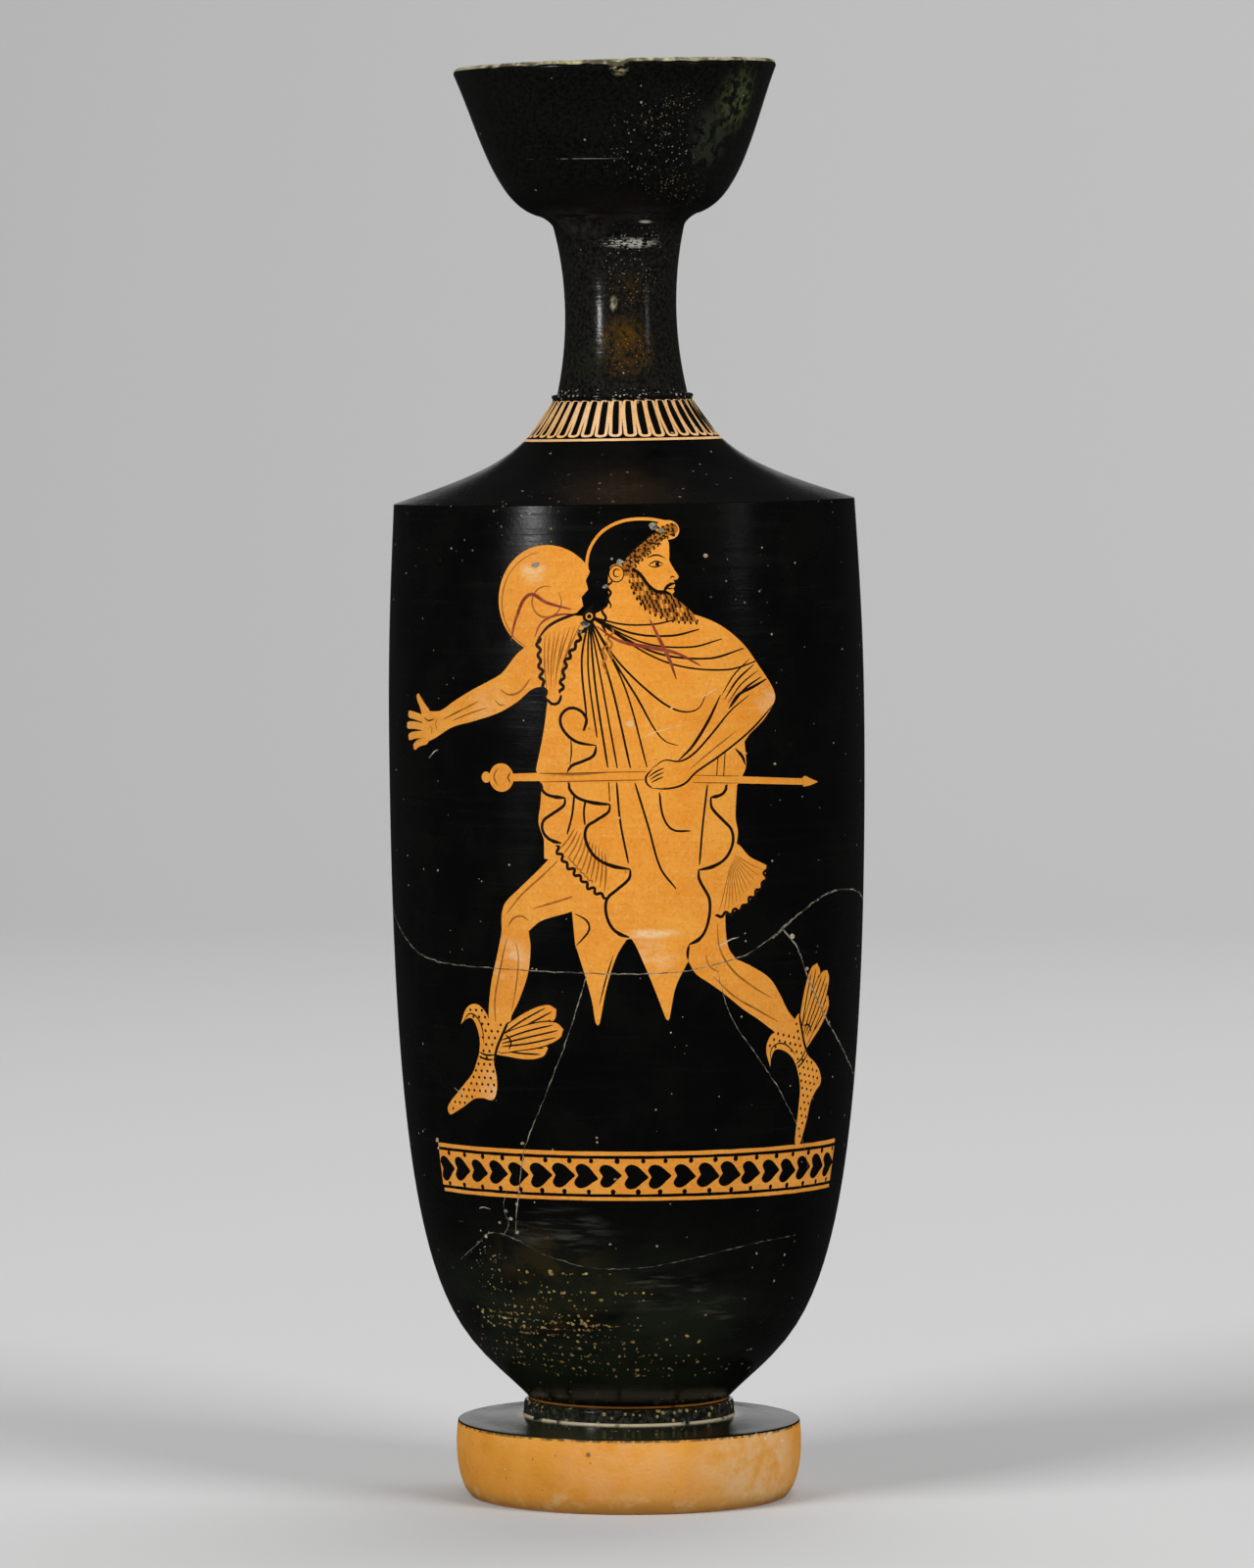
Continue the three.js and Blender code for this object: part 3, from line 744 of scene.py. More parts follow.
def fringe(wall):
    """Hair over the brow: short curls on thinned slip, from the ear to a rolled lock in front."""
    rng = random.Random(7)
    wall.area(CLAY, [(7.4, 229.8), (9.4, 230.9), (11.8, 230.6), (13, 229), (12.4, 227.2), (10.4, 226.5),
                     (8, 227.2)])
    line = trail([(11.4, 228.9), (9.6, 228.3), (7.4, 226.8), (5.2, 225), (3, 223.2), (1.2, 221.4),
                  (0.3, 219.6)], 0.85)
    for x, y in line:
        wall.blob(DILUTE, (x, y), 1.3, 12)
    for (x, y), (bx, by) in zip(line, line[1:] + [(0.2, 218.6)]):
        size = math.dist((x, y), (bx, by)) or 1
        across = ((by - y) / size, (x - bx) / size)
        for row in (-1.3, -0.45, 0.4, 1.25):
            row += rng.uniform(-0.25, 0.25)
            middle = (x + across[0] * row + rng.uniform(-0.25, 0.25),
                      y + across[1] * row + rng.uniform(-0.2, 0.2))
            curl = placed([(-0.36, -0.12), (0, 0.2), (0.3, -0.02), (0.16, -0.26)], middle,
                          rng.uniform(-1.2, 1.2))
            wall.stroke(LINE, 0.4, *curl, taper=0.3, ends=0.6, step=0.3)


def beard(wall, base, lips):
    """A pointed beard: thinned slip, with rows of short curls over it and a ragged lower edge."""
    edge = [(0.9, 218.6), (2.2, 214.6), (4.8, 211), (8.4, 209), (12.6, 207.9), (16.8, 207.6)]
    top = [(15.8, 209.6), (13.4, 211.8), (11.4, 213.4)]
    cheek = [(10.8, lips - 1.5), (9.4, lips - 0.8), (7.6, lips - 0.7), (5.6, lips + 0.6), (3.6, base + 1.3),
             (1.8, base + 2.8)]
    rng = random.Random(9)
    for x, y in trail(edge, 1.3)[1:]:
        wall.stroke(LINE, 0.62, (x + 0.3, y + 0.5), (x - 0.2, y - 0.1), (x - 0.05, y - 0.6), taper=0.4,
                    ends=0.5)
    wall.area(DILUTE, edge, top, cheek)
    outline = joined([edge, top, cheek])
    for row in range(13):
        for k in range(17):
            spot = (0.8 + 1.05 * k + 0.5 * (row % 2) + rng.uniform(-0.14, 0.14), 206.4 + 1.0 * row)
            if within(spot, outline):
                x, y = spot
                wall.stroke(LINE if rng.random() < 0.72 else CLAY, 0.44, (x - 0.36, y + 0.42),
                            (x + 0.08, y + 0.22), (x + 0.02, y - 0.26), (x + 0.36, y - 0.44), taper=0.3,
                            step=0.5)
    wall.stroke(LINE, 0.8, *cheek[::-1], taper=0.15, ends=0.5)
    wall.stroke(LINE, 0.75, (11.8, lips + 1.1), (10.6, lips + 1), (9.5, lips + 0.1), (8.9, lips - 1.3),
                taper=0.25)


def locks_and_cord(wall):
    """Loose locks over the shoulder, the hat's cord across the chest and the cloak's round pin."""
    locks = ((-3.4, 218, 211, LINE), (-4.6, 213, 204.6, LINE), (-3.2, 206.4, 199, DILUTE),
             (-4.6, 203.6, 196, DILUTE), (-7.8, 212, 208.6, LINE))
    for x, top, foot, paint in locks:
        lock = wavy([(x, top), (x - 0.4, (top + foot) / 2), (x - 0.2, foot)], 0.42, 2.5)
        wall.stroke(paint, 0.62, *lock[::2], taper=0.3, step=9)
    wall.stroke(RED, CORD, (-6.8, 207), (-1.6, 203.6), (5.4, 202), (11.6, 200.6), (17.4, 197.6))
    wall.stroke(RED, CORD, (5.6, 208.4), (7.8, 203.8), (10, 199.2), (11.6, 194.6))
    wall.blob(LINE, PIN, 1.6, 16)
    wall.blob(CLAY, PIN, 0.85, 14)
    wall.blob(LINE, PIN, 0.55, 10)


def heart_band(wall):
    """The ground line under the figure: black hearts on clay between two thin lines."""
    rng = random.Random(3)
    left, right = -57.2, 66.4
    for low, high, ends in ((85.0, 85.95, 0.0), (74.5, 75.35, 0.4), (76.05, 84.25, 0.0)):
        count = 40
        bottom = [(left + ends + (right - left - ends) * k / count, low + rng.uniform(-0.05, 0.05))
                  for k in range(count + 1)]
        top = [(x, high + rng.uniform(-0.05, 0.05)) for x, _ in bottom]
        wall.shape(CLAY, bottom + top[::-1])
    hearts = 20
    band_middle = 80.2
    pitch = (right - left) / hearts
    upper = [(-2.2, 0.7), (-2.6, 1.6), (-1.8, 2.6), (-0.5, 2.75), (0.8, 2.2), (1.9, 1.25), (3.2, 0.1)]
    lower = [(3.1, -0.3), (1.9, -1.15), (0.8, -2.1), (-0.5, -2.75), (-1.8, -2.65), (-2.6, -1.7), (-2.2, -0.7),
             (-1.75, 0)]
    for k in range(hearts):
        middle = left + (k + 0.5) * pitch + rng.uniform(-0.2, 0.2)
        height = band_middle + rng.uniform(-0.15, 0.15)
        size = rng.uniform(0.95, 1.06)
        turn = rng.uniform(-0.14, 0.1)
        halves = [placed([(x * size, y * size) for x, y in half], (middle, height), turn)
                  for half in (upper, lower)]
        wall.area(GLOSS, *halves)
        for y, shift in ((83.75, 0.3), (76.55, 0.1)):
            wall.blob(GLOSS, (middle + shift * pitch + rng.uniform(-0.3, 0.3), y), rng.uniform(0.55, 0.7), 9)
    wall.stroke(LINE, 0.35, (right - 0.9, 76.2), (right - 0.9, 84.2), taper=0.05)


def wear(wall):
    """Mended cracks, chips and small pits."""
    rng = random.Random(11)
    main_left = [(-175.8, 141), (-150, 146), (-120, 149), (-95, 143), (-80, 138), (-68, 133), (-60, 130),
                 (-50, 128.5), (-35, 128), (-10, 127.3), (10, 127.3), (20, 128.8), (30, 131.5), (39, 136.5)]
    main_right = [(39, 136.5), (45, 140), (55, 143.8), (65, 144.3), (75, 143), (95, 137), (120, 132),
                  (150, 136), (175.8, 141)]
    branches = [
        (0.22, main_left), (0.34, main_right),
        (0.36, [(39, 136.5), (44, 132), (48, 125), (56, 115), (65, 108), (74, 102.5), (92, 96)]),
        (0.55, [(36.4, 134.4), (39.2, 136.6), (42.4, 138.8)]), (0.5, [(39.2, 136.6), (41.6, 134)]),
        (0.2, [(-9.7, 127.2), (-14, 114), (-20, 100), (-24.6, 91), (-27, 86)]),
        (0.3, [(-27, 86), (-28, 82), (-30.4, 72), (-31.6, 66)]),
        (0.15, [(21, 128.6), (25, 117), (32, 108), (40, 99), (50, 86), (56, 74)]),
        (0.13, [(-55, 58.4), (-46, 62.6), (-40, 65.8), (-31.6, 64.6), (-24, 61.4)]),
        (0.1, [(-24, 61.4), (-12, 58.8), (2, 58.6), (20, 61), (36, 63.4), (52, 64.4)]),
        (0.12, [(-33, 76), (-34.6, 72), (-33.6, 68), (-36, 65)]),
    ]
    for width, points in branches:
        wall.crack(FILL, width, 0.1, *points, rng=rng)
    # On the gloss, on the figure, and the grey of old dust and filler
    places = {
        CHIP: [(-29.4, 76, 0.35), (-30.4, 73, 0.4), (-32.8, 69.5, 0.45), (-31, 66.4, 0.5),
               (-36.4, 68.4, 0.35), (-42, 64.8, 0.4), (-57.6, 86.4, 0.6), (-57.4, 84.6, 0.4),
               (42.4, 134.6, 0.6), (47.6, 126.8, 0.5), (19.2, 222.6, 0.5), (36.6, 174.6, 0.3),
               (-3.4, 79.6, 0.3), (-27.4, 87.4, 0.45), (49.6, 122, 0.4)],
        PALE_CLAY: [(34.6, 190.6, 0.6), (0.8, 184.6, 0.7), (33.4, 192.4, 0.4), (10.4, 188, 0.25),
                    (-2, 163, 0.3)],
        FILL: [(6.8, 229.6, 0.9), (8.6, 228.6, 0.6), (-1.2, 221.6, 0.7), (-9.4, 207.4, 0.8),
               (-10.6, 205.8, 0.5), (-4.6, 216, 0.5), (-21.4, 221, 0.8), (-34, 71.2, 0.5)],
    }
    for paint, spots in places.items():
        for x, y, size in spots:
            wall.chip(paint, (x, y), size, rng)
    for _ in range(170):
        wall.chip(CHIP, (rng.uniform(-170, 170), rng.uniform(86, 232)), 0.08 + 0.16 * rng.random() ** 3,
                  rng, 1.2, 0.05)
    scratches = ((PALE_CLAY, 19, 191, 5, 0.5), (PALE_CLAY, 8.4, 182.8, 10, 0.3), (CHIP, -52, 177, 4, 0.5),
                 (CHIP, 24, 134, 6, 0.4), (CHIP, -46, 98, 5, -0.5), (CHIP, -41, 71.4, 4, 0.02))
    for paint, x, y, length, tilt in scratches:
        dx, dy = length / 2 * math.cos(tilt), length / 2 * math.sin(tilt)
        wall.crack(paint, 0.22, 0.03, (x - dx, y - dy), (x, y + 0.3), (x + dx, y + dy), rng=rng)
    for _ in range(40):
        wall.chip(CHIP, (rng.gauss(-45, 4), rng.gauss(59, 4)), 0.1 + 0.16 * rng.random() ** 2, rng, 1.3, 0.05)
    # Rows of pits round the lower body, where the gloss was thin and misfired: height, how many, the row's
    # middle and its spread
    rows = ((57, 18, -26, 10.35), (54.5, 12, -34, 9.2), (52.5, 33, -24, 16.1), (50.6, 18, -12, 13.8),
            (48.6, 21, -32, 11.5), (46.8, 39, -36, 12.65), (45.2, 51, -30, 16.1), (44.6, 21, -14, 5.75),
            (43.4, 54, -30, 16.1), (42, 36, -26, 18.4), (40.4, 24, -8, 20.7), (38.8, 33, -26, 18.4),
            (37, 39, -14, 25.3), (35.4, 33, -10, 25.3), (33.6, 30, -8, 27.6), (31.8, 24, 0, 27.6))
    for height, count, middle, spread in rows:
        for _ in range(count):
            around = rng.gauss(middle, spread)
            size = 0.12 + 0.27 * rng.random() ** 3
            wall.chip(PIT, (around, height + rng.gauss(0, 0.25)), size, rng, rng.uniform(1.1, 2.2), 0.1)
    for _ in range(9):
        spot = (rng.gauss(-14.5, 2), rng.gauss(45, 0.7))
        wall.chip(PIT, spot, rng.uniform(0.3, 0.42), rng, 1.5, 0.1)


def painted_wall():
    wall = Band()
    for part in (sun_hat, reaching_arm, trailing_leg, forward_leg, cloak, tunic, cloak_folds, sleeve, hems,
                 head, locks_and_cord, staff, holding_arm):
        part(wall)
    boot(wall, (-36.5, 107), 0.0)
    boot(wall, (47.4, 105.6), math.radians(48))
    heart_band(wall)
    wear(wall)
    return wall


TONGUES = 40
TONGUE_ROUND = 20.0  # the radius at which the band's widths are true


def painted_tongues(length):
    """Black tongues in clay frames, hanging from the neck, over a thin clay line. y runs up the slope."""
    rng = random.Random(5)
    band = Band()
    around = math.pi * TONGUE_ROUND
    steps = 72
    line = [-around + 2 * around * k / steps for k in range(steps + 1)]
    band.shape(PALE_CLAY, [(x, 1.25) for x in line] + [(x, 2.05) for x in line[::-1]])
    pitch = 2 * around / TONGUES
    top = length - 0.3
    for k in range(TONGUES):
        middle = -around + (k + 0.5) * pitch + rng.uniform(-0.08, 0.08)
        foot = 2.5 + rng.uniform(-0.12, 0.12)
        frame_half = pitch * 0.465
        tongue_half = pitch * rng.uniform(0.23, 0.26)
        for paint, half, low in ((PALE_CLAY, frame_half, foot), (GLOSS, tongue_half, foot + 0.7)):
            band.area(paint, [(middle - half, top), (middle - half * 0.98, low + half * 0.7)],
                      [(middle - half * 0.7, low + half * 0.16), (middle, low),
                       (middle + half * 0.7, low + half * 0.16), (middle + half * 0.98, low + half * 0.7)],
                      [(middle + half, top)])
    for _ in range(16):
        band.chip(CHIP, (rng.uniform(-58, 58), rng.uniform(0.3, top)), rng.uniform(0.12, 0.3), rng)
    return band


def along(line, places):
    """For points (radius, height): their share of a profile line's length, how far off it they are, and the
    outward direction there."""
    start = line["points"][:-1]
    step = line["points"][1:] - start
    sizes = np.einsum("ij,ij->i", step, step)
    share, off, outward = [], [], []
    for part in np.array_split(places, max(1, len(places) // 4000)):
        from_start = part[:, None, :] - start[None]
        t = np.clip(np.einsum("mni,ni->mn", from_start, step) / sizes, 0, 1)
        gap = np.linalg.norm(from_start - t[..., None] * step[None], axis=2)
        best = gap.argmin(axis=1)
        rows = np.arange(len(part))
        t = t[rows, best]
        share.append((line["lengths"][best] + t * np.sqrt(sizes[best])) / line["lengths"][-1])
        off.append(gap[rows, best])
        outward.append(line["outward"][best] * (1 - t[:, None]) + line["outward"][best + 1] * t[:, None])
    outward = np.concatenate(outward)
    outward = outward / np.linalg.norm(outward, axis=1, keepdims=True)
    return np.concatenate(share), np.concatenate(off), outward


def measured(parts):
    """Each part of the profile with its lengths and the outward direction at each point, smooth across a
    part's end where the next part carries on without a corner."""
    steps = []
    for _, _, points in parts:
        made = np.array(points, float)
        step = np.diff(made, axis=0)
        steps.append(step / np.linalg.norm(step, axis=1, keepdims=True))
    lines = []
    for i, (name, finish, points) in enumerate(parts):
        made = np.array(points, float)
        step = steps[i]
        along_line = np.vstack([step[:1], step[:-1] + step[1:], step[-1:]])
        if i > 0 and steps[i - 1][-1] @ step[0] > math.cos(SMOOTH_JOIN):
            along_line[0] = steps[i - 1][-1] + step[0]
        if i < len(parts) - 1 and step[-1] @ steps[i + 1][0] > math.cos(SMOOTH_JOIN):
            along_line[-1] = step[-1] + steps[i + 1][0]
        outward = np.column_stack([along_line[:, 1], -along_line[:, 0]])
        outward /= np.linalg.norm(outward, axis=1, keepdims=True)
        lengths = np.concatenate([[0], np.cumsum(np.linalg.norm(np.diff(made, axis=0), axis=1))])
        lines.append({"name": name, "finish": finish, "points": made, "lengths": lengths, "outward": outward})
    return lines


def turned_shell(lines):
    """The whole profile spun round the upright axis: a closed hollow shell."""
    shell = bmesh.new()
    region = shell.faces.layers.int.new("region")
    for number, line in enumerate(lines):
        chain = [shell.verts.new((0, -r, z)) for r, z in line["points"]]
        edges = [shell.edges.new(pair) for pair in zip(chain, chain[1:])]
        bmesh.ops.spin(shell, geom=chain + edges, axis=(0, 0, 1), cent=(0, 0, 0), dvec=(0, 0, 0),
                       angle=2 * math.pi, steps=COLUMNS, use_merge=True, use_duplicate=False)
        for face in shell.faces:
            if face[region] == 0:
                face[region] = number + 1
    bmesh.ops.remove_doubles(shell, verts=shell.verts, dist=0.002)
    bmesh.ops.recalc_face_normals(shell, faces=shell.faces)
    bands = {1 + i for i, line in enumerate(lines) if line["name"] in ("wall", "tongues")}
    corners = []
    for edge in shell.edges:
        if edge.is_manifold and edge.calc_face_angle() > CREASE:
            if not any(face[region] in bands for face in edge.link_faces):
                corners.append(edge)
    bmesh.ops.bevel(shell, geom=corners, offset=0.35, offset_type="OFFSET", segments=3, profile=0.5,
                    affect="EDGES", material=-1, clamp_overlap=True)
    return shell


def shoulder_height(lines, radius):
    points = next(line["points"] for line in lines if line["name"] == "shoulder")
    return float(np.interp(radius, points[::-1, 0], points[::-1, 1]))


def handle_path(lines):
    """The middle line of the strap, from inside the neck's wall to inside the shoulder's wall."""
    root = MOUTH_BASE - HANDLE_BELOW_MOUTH
    foot = shoulder_height(lines, HANDLE_FOOT_RADIUS)
    pulls = (Vector((0, HANDLE_REACH * 0.8, root + HANDLE_ARCH)),
             Vector((0, HANDLE_REACH * 1.15, foot + (root - foot) * 0.75)))
    path = interpolate_bezier(Vector((0, NECK_BASE_RADIUS * 0.4, root)), *pulls,
                              Vector((0, HANDLE_FOOT_RADIUS, foot - WALL * 0.6)), 61)
    inside_wall = (BORE_RADIUS + NECK_BASE_RADIUS) / 2 - 1
    return [p for p in path if p.y > inside_wall]


def strap(lines, number):
    """The handle: one section drawn out along its path."""
    path = handle_path(lines)
    foot = shoulder_height(lines, HANDLE_FOOT_RADIUS)
    half, thick, edge = HANDLE_WIDTH / 2, HANDLE_THICKNESS / 2, HANDLE_THICKNESS / 3
    right = curve((0, -thick), towards(OUT, 3), towards(OUT, 1), (half - edge, -thick), 5)
    right += curve(right[-1], towards(OUT, edge * 0.6), towards(UP, edge * 0.6), (half, edge - thick), 4)[1:]
    right += curve(right[-1], towards(UP, thick), towards(IN, half / 2), (0, thick), 9)[1:]
    section = right + [Vector((-p.x, p.y)) for p in right[-2:0:-1]]

    def place(i):
        ahead = (path[min(i + 1, len(path) - 1)] - path[max(i - 1, 0)]).normalized()
        outside = Vector((1, 0, 0)).cross(ahead)
        near = min(max(path[i].y - NECK_BASE_RADIUS, 0), max(path[i].z - foot, 0)) / HANDLE_ROOT_REACH
        near = min(near, 1)
        spread = 1 + HANDLE_ROOT_FLARE * (1 - near * near * (3 - 2 * near))
        turn = Matrix((Vector((1, 0, 0)) * spread, outside, ahead)).transposed().to_4x4()
        return Matrix.Translation(path[i]) @ turn

    made = bmesh.new()
    ring = [made.verts.new(place(0) @ Vector((x, -y, 0))) for x, y in section]
    first = made.faces.new(ring)
    edges = list(first.edges)
    for i in range(1, len(path)):
        out = bmesh.ops.extrude_edge_only(made, edges=edges)["geom"]
        verts = [item for item in out if isinstance(item, bmesh.types.BMVert)]
        edges = [item for item in out if isinstance(item, bmesh.types.BMEdge)]
        bmesh.ops.transform(made, matrix=place(i) @ place(i - 1).inverted(), verts=verts)
    bmesh.ops.contextual_create(made, geom=edges)
    bmesh.ops.recalc_face_normals(made, faces=made.faces)
    region = made.faces.layers.int.new("region")
    for face in made.faces:
        face[region] = number
    return made


def joined_solid(first, second):
    """Two closed meshes made one, with nothing left inside."""
    objects = []
    for made in (first, second):
        mesh = bpy.data.meshes.new("part")
        made.to_mesh(mesh)
        made.free()
        objects.append(bpy.data.objects.new("part", mesh))
        bpy.context.collection.objects.link(objects[-1])
    union = objects[0].modifiers.new("union", "BOOLEAN")
    union.operation = "UNION"
    union.solver = "EXACT"
    union.object = objects[1]
    mesh = bpy.data.meshes.new_from_object(objects[0].evaluated_get(bpy.context.evaluated_depsgraph_get()))
    made = bmesh.new()
    made.from_mesh(mesh)
    for item in objects:
        bpy.data.objects.remove(item)
    bpy.data.meshes.remove(mesh)
    return made


def smooth_roots(made, number):
    """Softens the seam where the strap was pressed on and wiped smooth."""
    region = made.faces.layers.int["region"]
    near = set()
    for edge in made.edges:
        if len({face[region] == number for face in edge.link_faces}) == 2:
            near.update(edge.verts)
    for _ in range(2):
        near.update([edge.other_vert(vert) for vert in list(near) for edge in vert.link_edges])
    for _ in range(6):
        bmesh.ops.smooth_vert(made, verts=list(near), factor=0.5,
                              use_axis_x=True, use_axis_y=True, use_axis_z=True)


def cut_in(made, line, number, band, millimetres_round, rows, by_height):
    """Replaces a band of the turned shell by one whose triangles follow every painted outline.

    The band is unrolled, all outlines are worked into one triangulation, each triangle takes the paint of the
    last shape that covers it, and the triangles are rolled up again on the profile line."""
    region = made.faces.layers.int["region"]
    old = [face for face in made.faces if face[region] == number]
    bmesh.ops.delete(made, geom=old, context="FACES")
    profile_points, lengths = line["points"], line["lengths"]
    upward = profile_points[:, 1] if by_height else lengths
    ups = np.linspace(upward[0], upward[-1], rows + 1)
    rounds = np.array([(2 * math.pi * k / COLUMNS - math.pi) * millimetres_round for k in range(COLUMNS + 1)])
    points = [(x, y) for y in ups for x in rounds]
    width = COLUMNS + 1
    edges = []
    for row in (0, rows):
        edges += [(row * width + k, row * width + k + 1) for k in range(COLUMNS)]
    seams = (0, COLUMNS, FRONT_COLUMNS[0], FRONT_COLUMNS[1])
    for column in seams:
        edges += [(row * width + column, (row + 1) * width + column) for row in range(rows)]
    depths = [0.0] * len(points)
    for _, outline, middle, depth in band.shapes:
        first = len(points)
        points += outline
        depths += [0.0] * len(outline)
        edges += [(first + k, first + (k + 1) % len(outline)) for k in range(len(outline))]
        points += middle
        depths += [depth] * len(middle)
    flat, _, triangles, sources, _, _ = delaunay_2d_cdt([Vector(p) for p in points], edges, [], 0, 1e-4)
    flat = np.array([tuple(p) for p in flat])
    triangles = np.array([t for t in triangles])
    sunk = np.array([max([depths[i] for i in source], default=0.0) for source in sources])
    finishes = painted(flat[triangles].mean(axis=1), band.shapes)

    radius = np.interp(flat[:, 1], upward, profile_points[:, 0])
    height = np.interp(flat[:, 1], upward, profile_points[:, 1])
    outward = np.column_stack([np.interp(flat[:, 1], upward, line["outward"][:, k]) for k in (0, 1)])
    radius = radius - sunk * outward[:, 0]
    height = height - sunk * outward[:, 1]
    turn = flat[:, 0] / millimetres_round
    places = np.column_stack([radius * np.sin(turn), -radius * np.cos(turn), height])
    verts = [made.verts.new(place) for place in places]
    for corners, finish in zip(triangles, finishes):
        face = made.faces.new([verts[i] for i in corners])
        face[region] = number
        face.material_index = int(finish)
    edge_verts = [vert for vert in made.verts if vert.is_boundary]
    bmesh.ops.remove_doubles(made, verts=edge_verts, dist=0.01)


def painted(middles, shapes):
    """The paint at each place: that of the last shape round which the outline winds."""
    paint = np.full(len(middles), GLOSS)
    for finish, outline, _, _ in shapes:
        line = np.array(outline)
        low, high = line.min(axis=0), line.max(axis=0)
        near = np.flatnonzero(((middles >= low) & (middles <= high)).all(axis=1))
        x, y = middles[near, 0:1], middles[near, 1:2]
        a, b = line, np.roll(line, -1, axis=0)
        left_of = (b[:, 0] - a[:, 0]) * (y - a[:, 1]) - (x - a[:, 0]) * (b[:, 1] - a[:, 1])
        up = (a[:, 1] <= y) & (b[:, 1] > y) & (left_of > 0)
        down = (a[:, 1] > y) & (b[:, 1] <= y) & (left_of < 0)
        winding = up.sum(axis=1) - down.sum(axis=1)
        paint[near[winding != 0]] = finish
    return paint


FRONT_HALF = 32  # columns of the mesh on each side of the front
FRONT_COLUMNS = (COLUMNS // 2 - FRONT_HALF, COLUMNS // 2 + FRONT_HALF)

# Where each part lies on the flask's own texture map: left, bottom, right, top.
MAP_PLACES = {
    "wall_front": (0.002, 0.002, 0.745, 0.998), "wall": (0.797, 0.62, 0.998, 0.998),
    "tongues": (0.750, 0.002, 0.793, 0.998), "neck": (0.797, 0.50, 0.998, 0.615),
    "mouth": (0.797, 0.37, 0.998, 0.495), "shoulder": (0.797, 0.28, 0.998, 0.365),
    "foot_side": (0.797, 0.22, 0.998, 0.275), "foot_top": (0.797, 0.17, 0.998, 0.215),
    "cup": (0.797, 0.12, 0.998, 0.165), "handle": (0.797, 0.075, 0.998, 0.115),
    "bowl": (0.797, 0.055, 0.998, 0.07), "moulding": (0.797, 0.045, 0.998, 0.052),
    "lip": (0.797, 0.037, 0.998, 0.043), "wall_top": (0.797, 0.031, 0.998, 0.035),
    "collar": (0.797, 0.025, 0.998, 0.029), "groove": (0.797, 0.02, 0.998, 0.023),
    "ring": (0.797, 0.015, 0.998, 0.018), "underside": (0.797, 0.010, 0.998, 0.013),
    "bore": (0.797, 0.006, 0.998, 0.008), "inside": (0.797, 0.002, 0.998, 0.004),
}


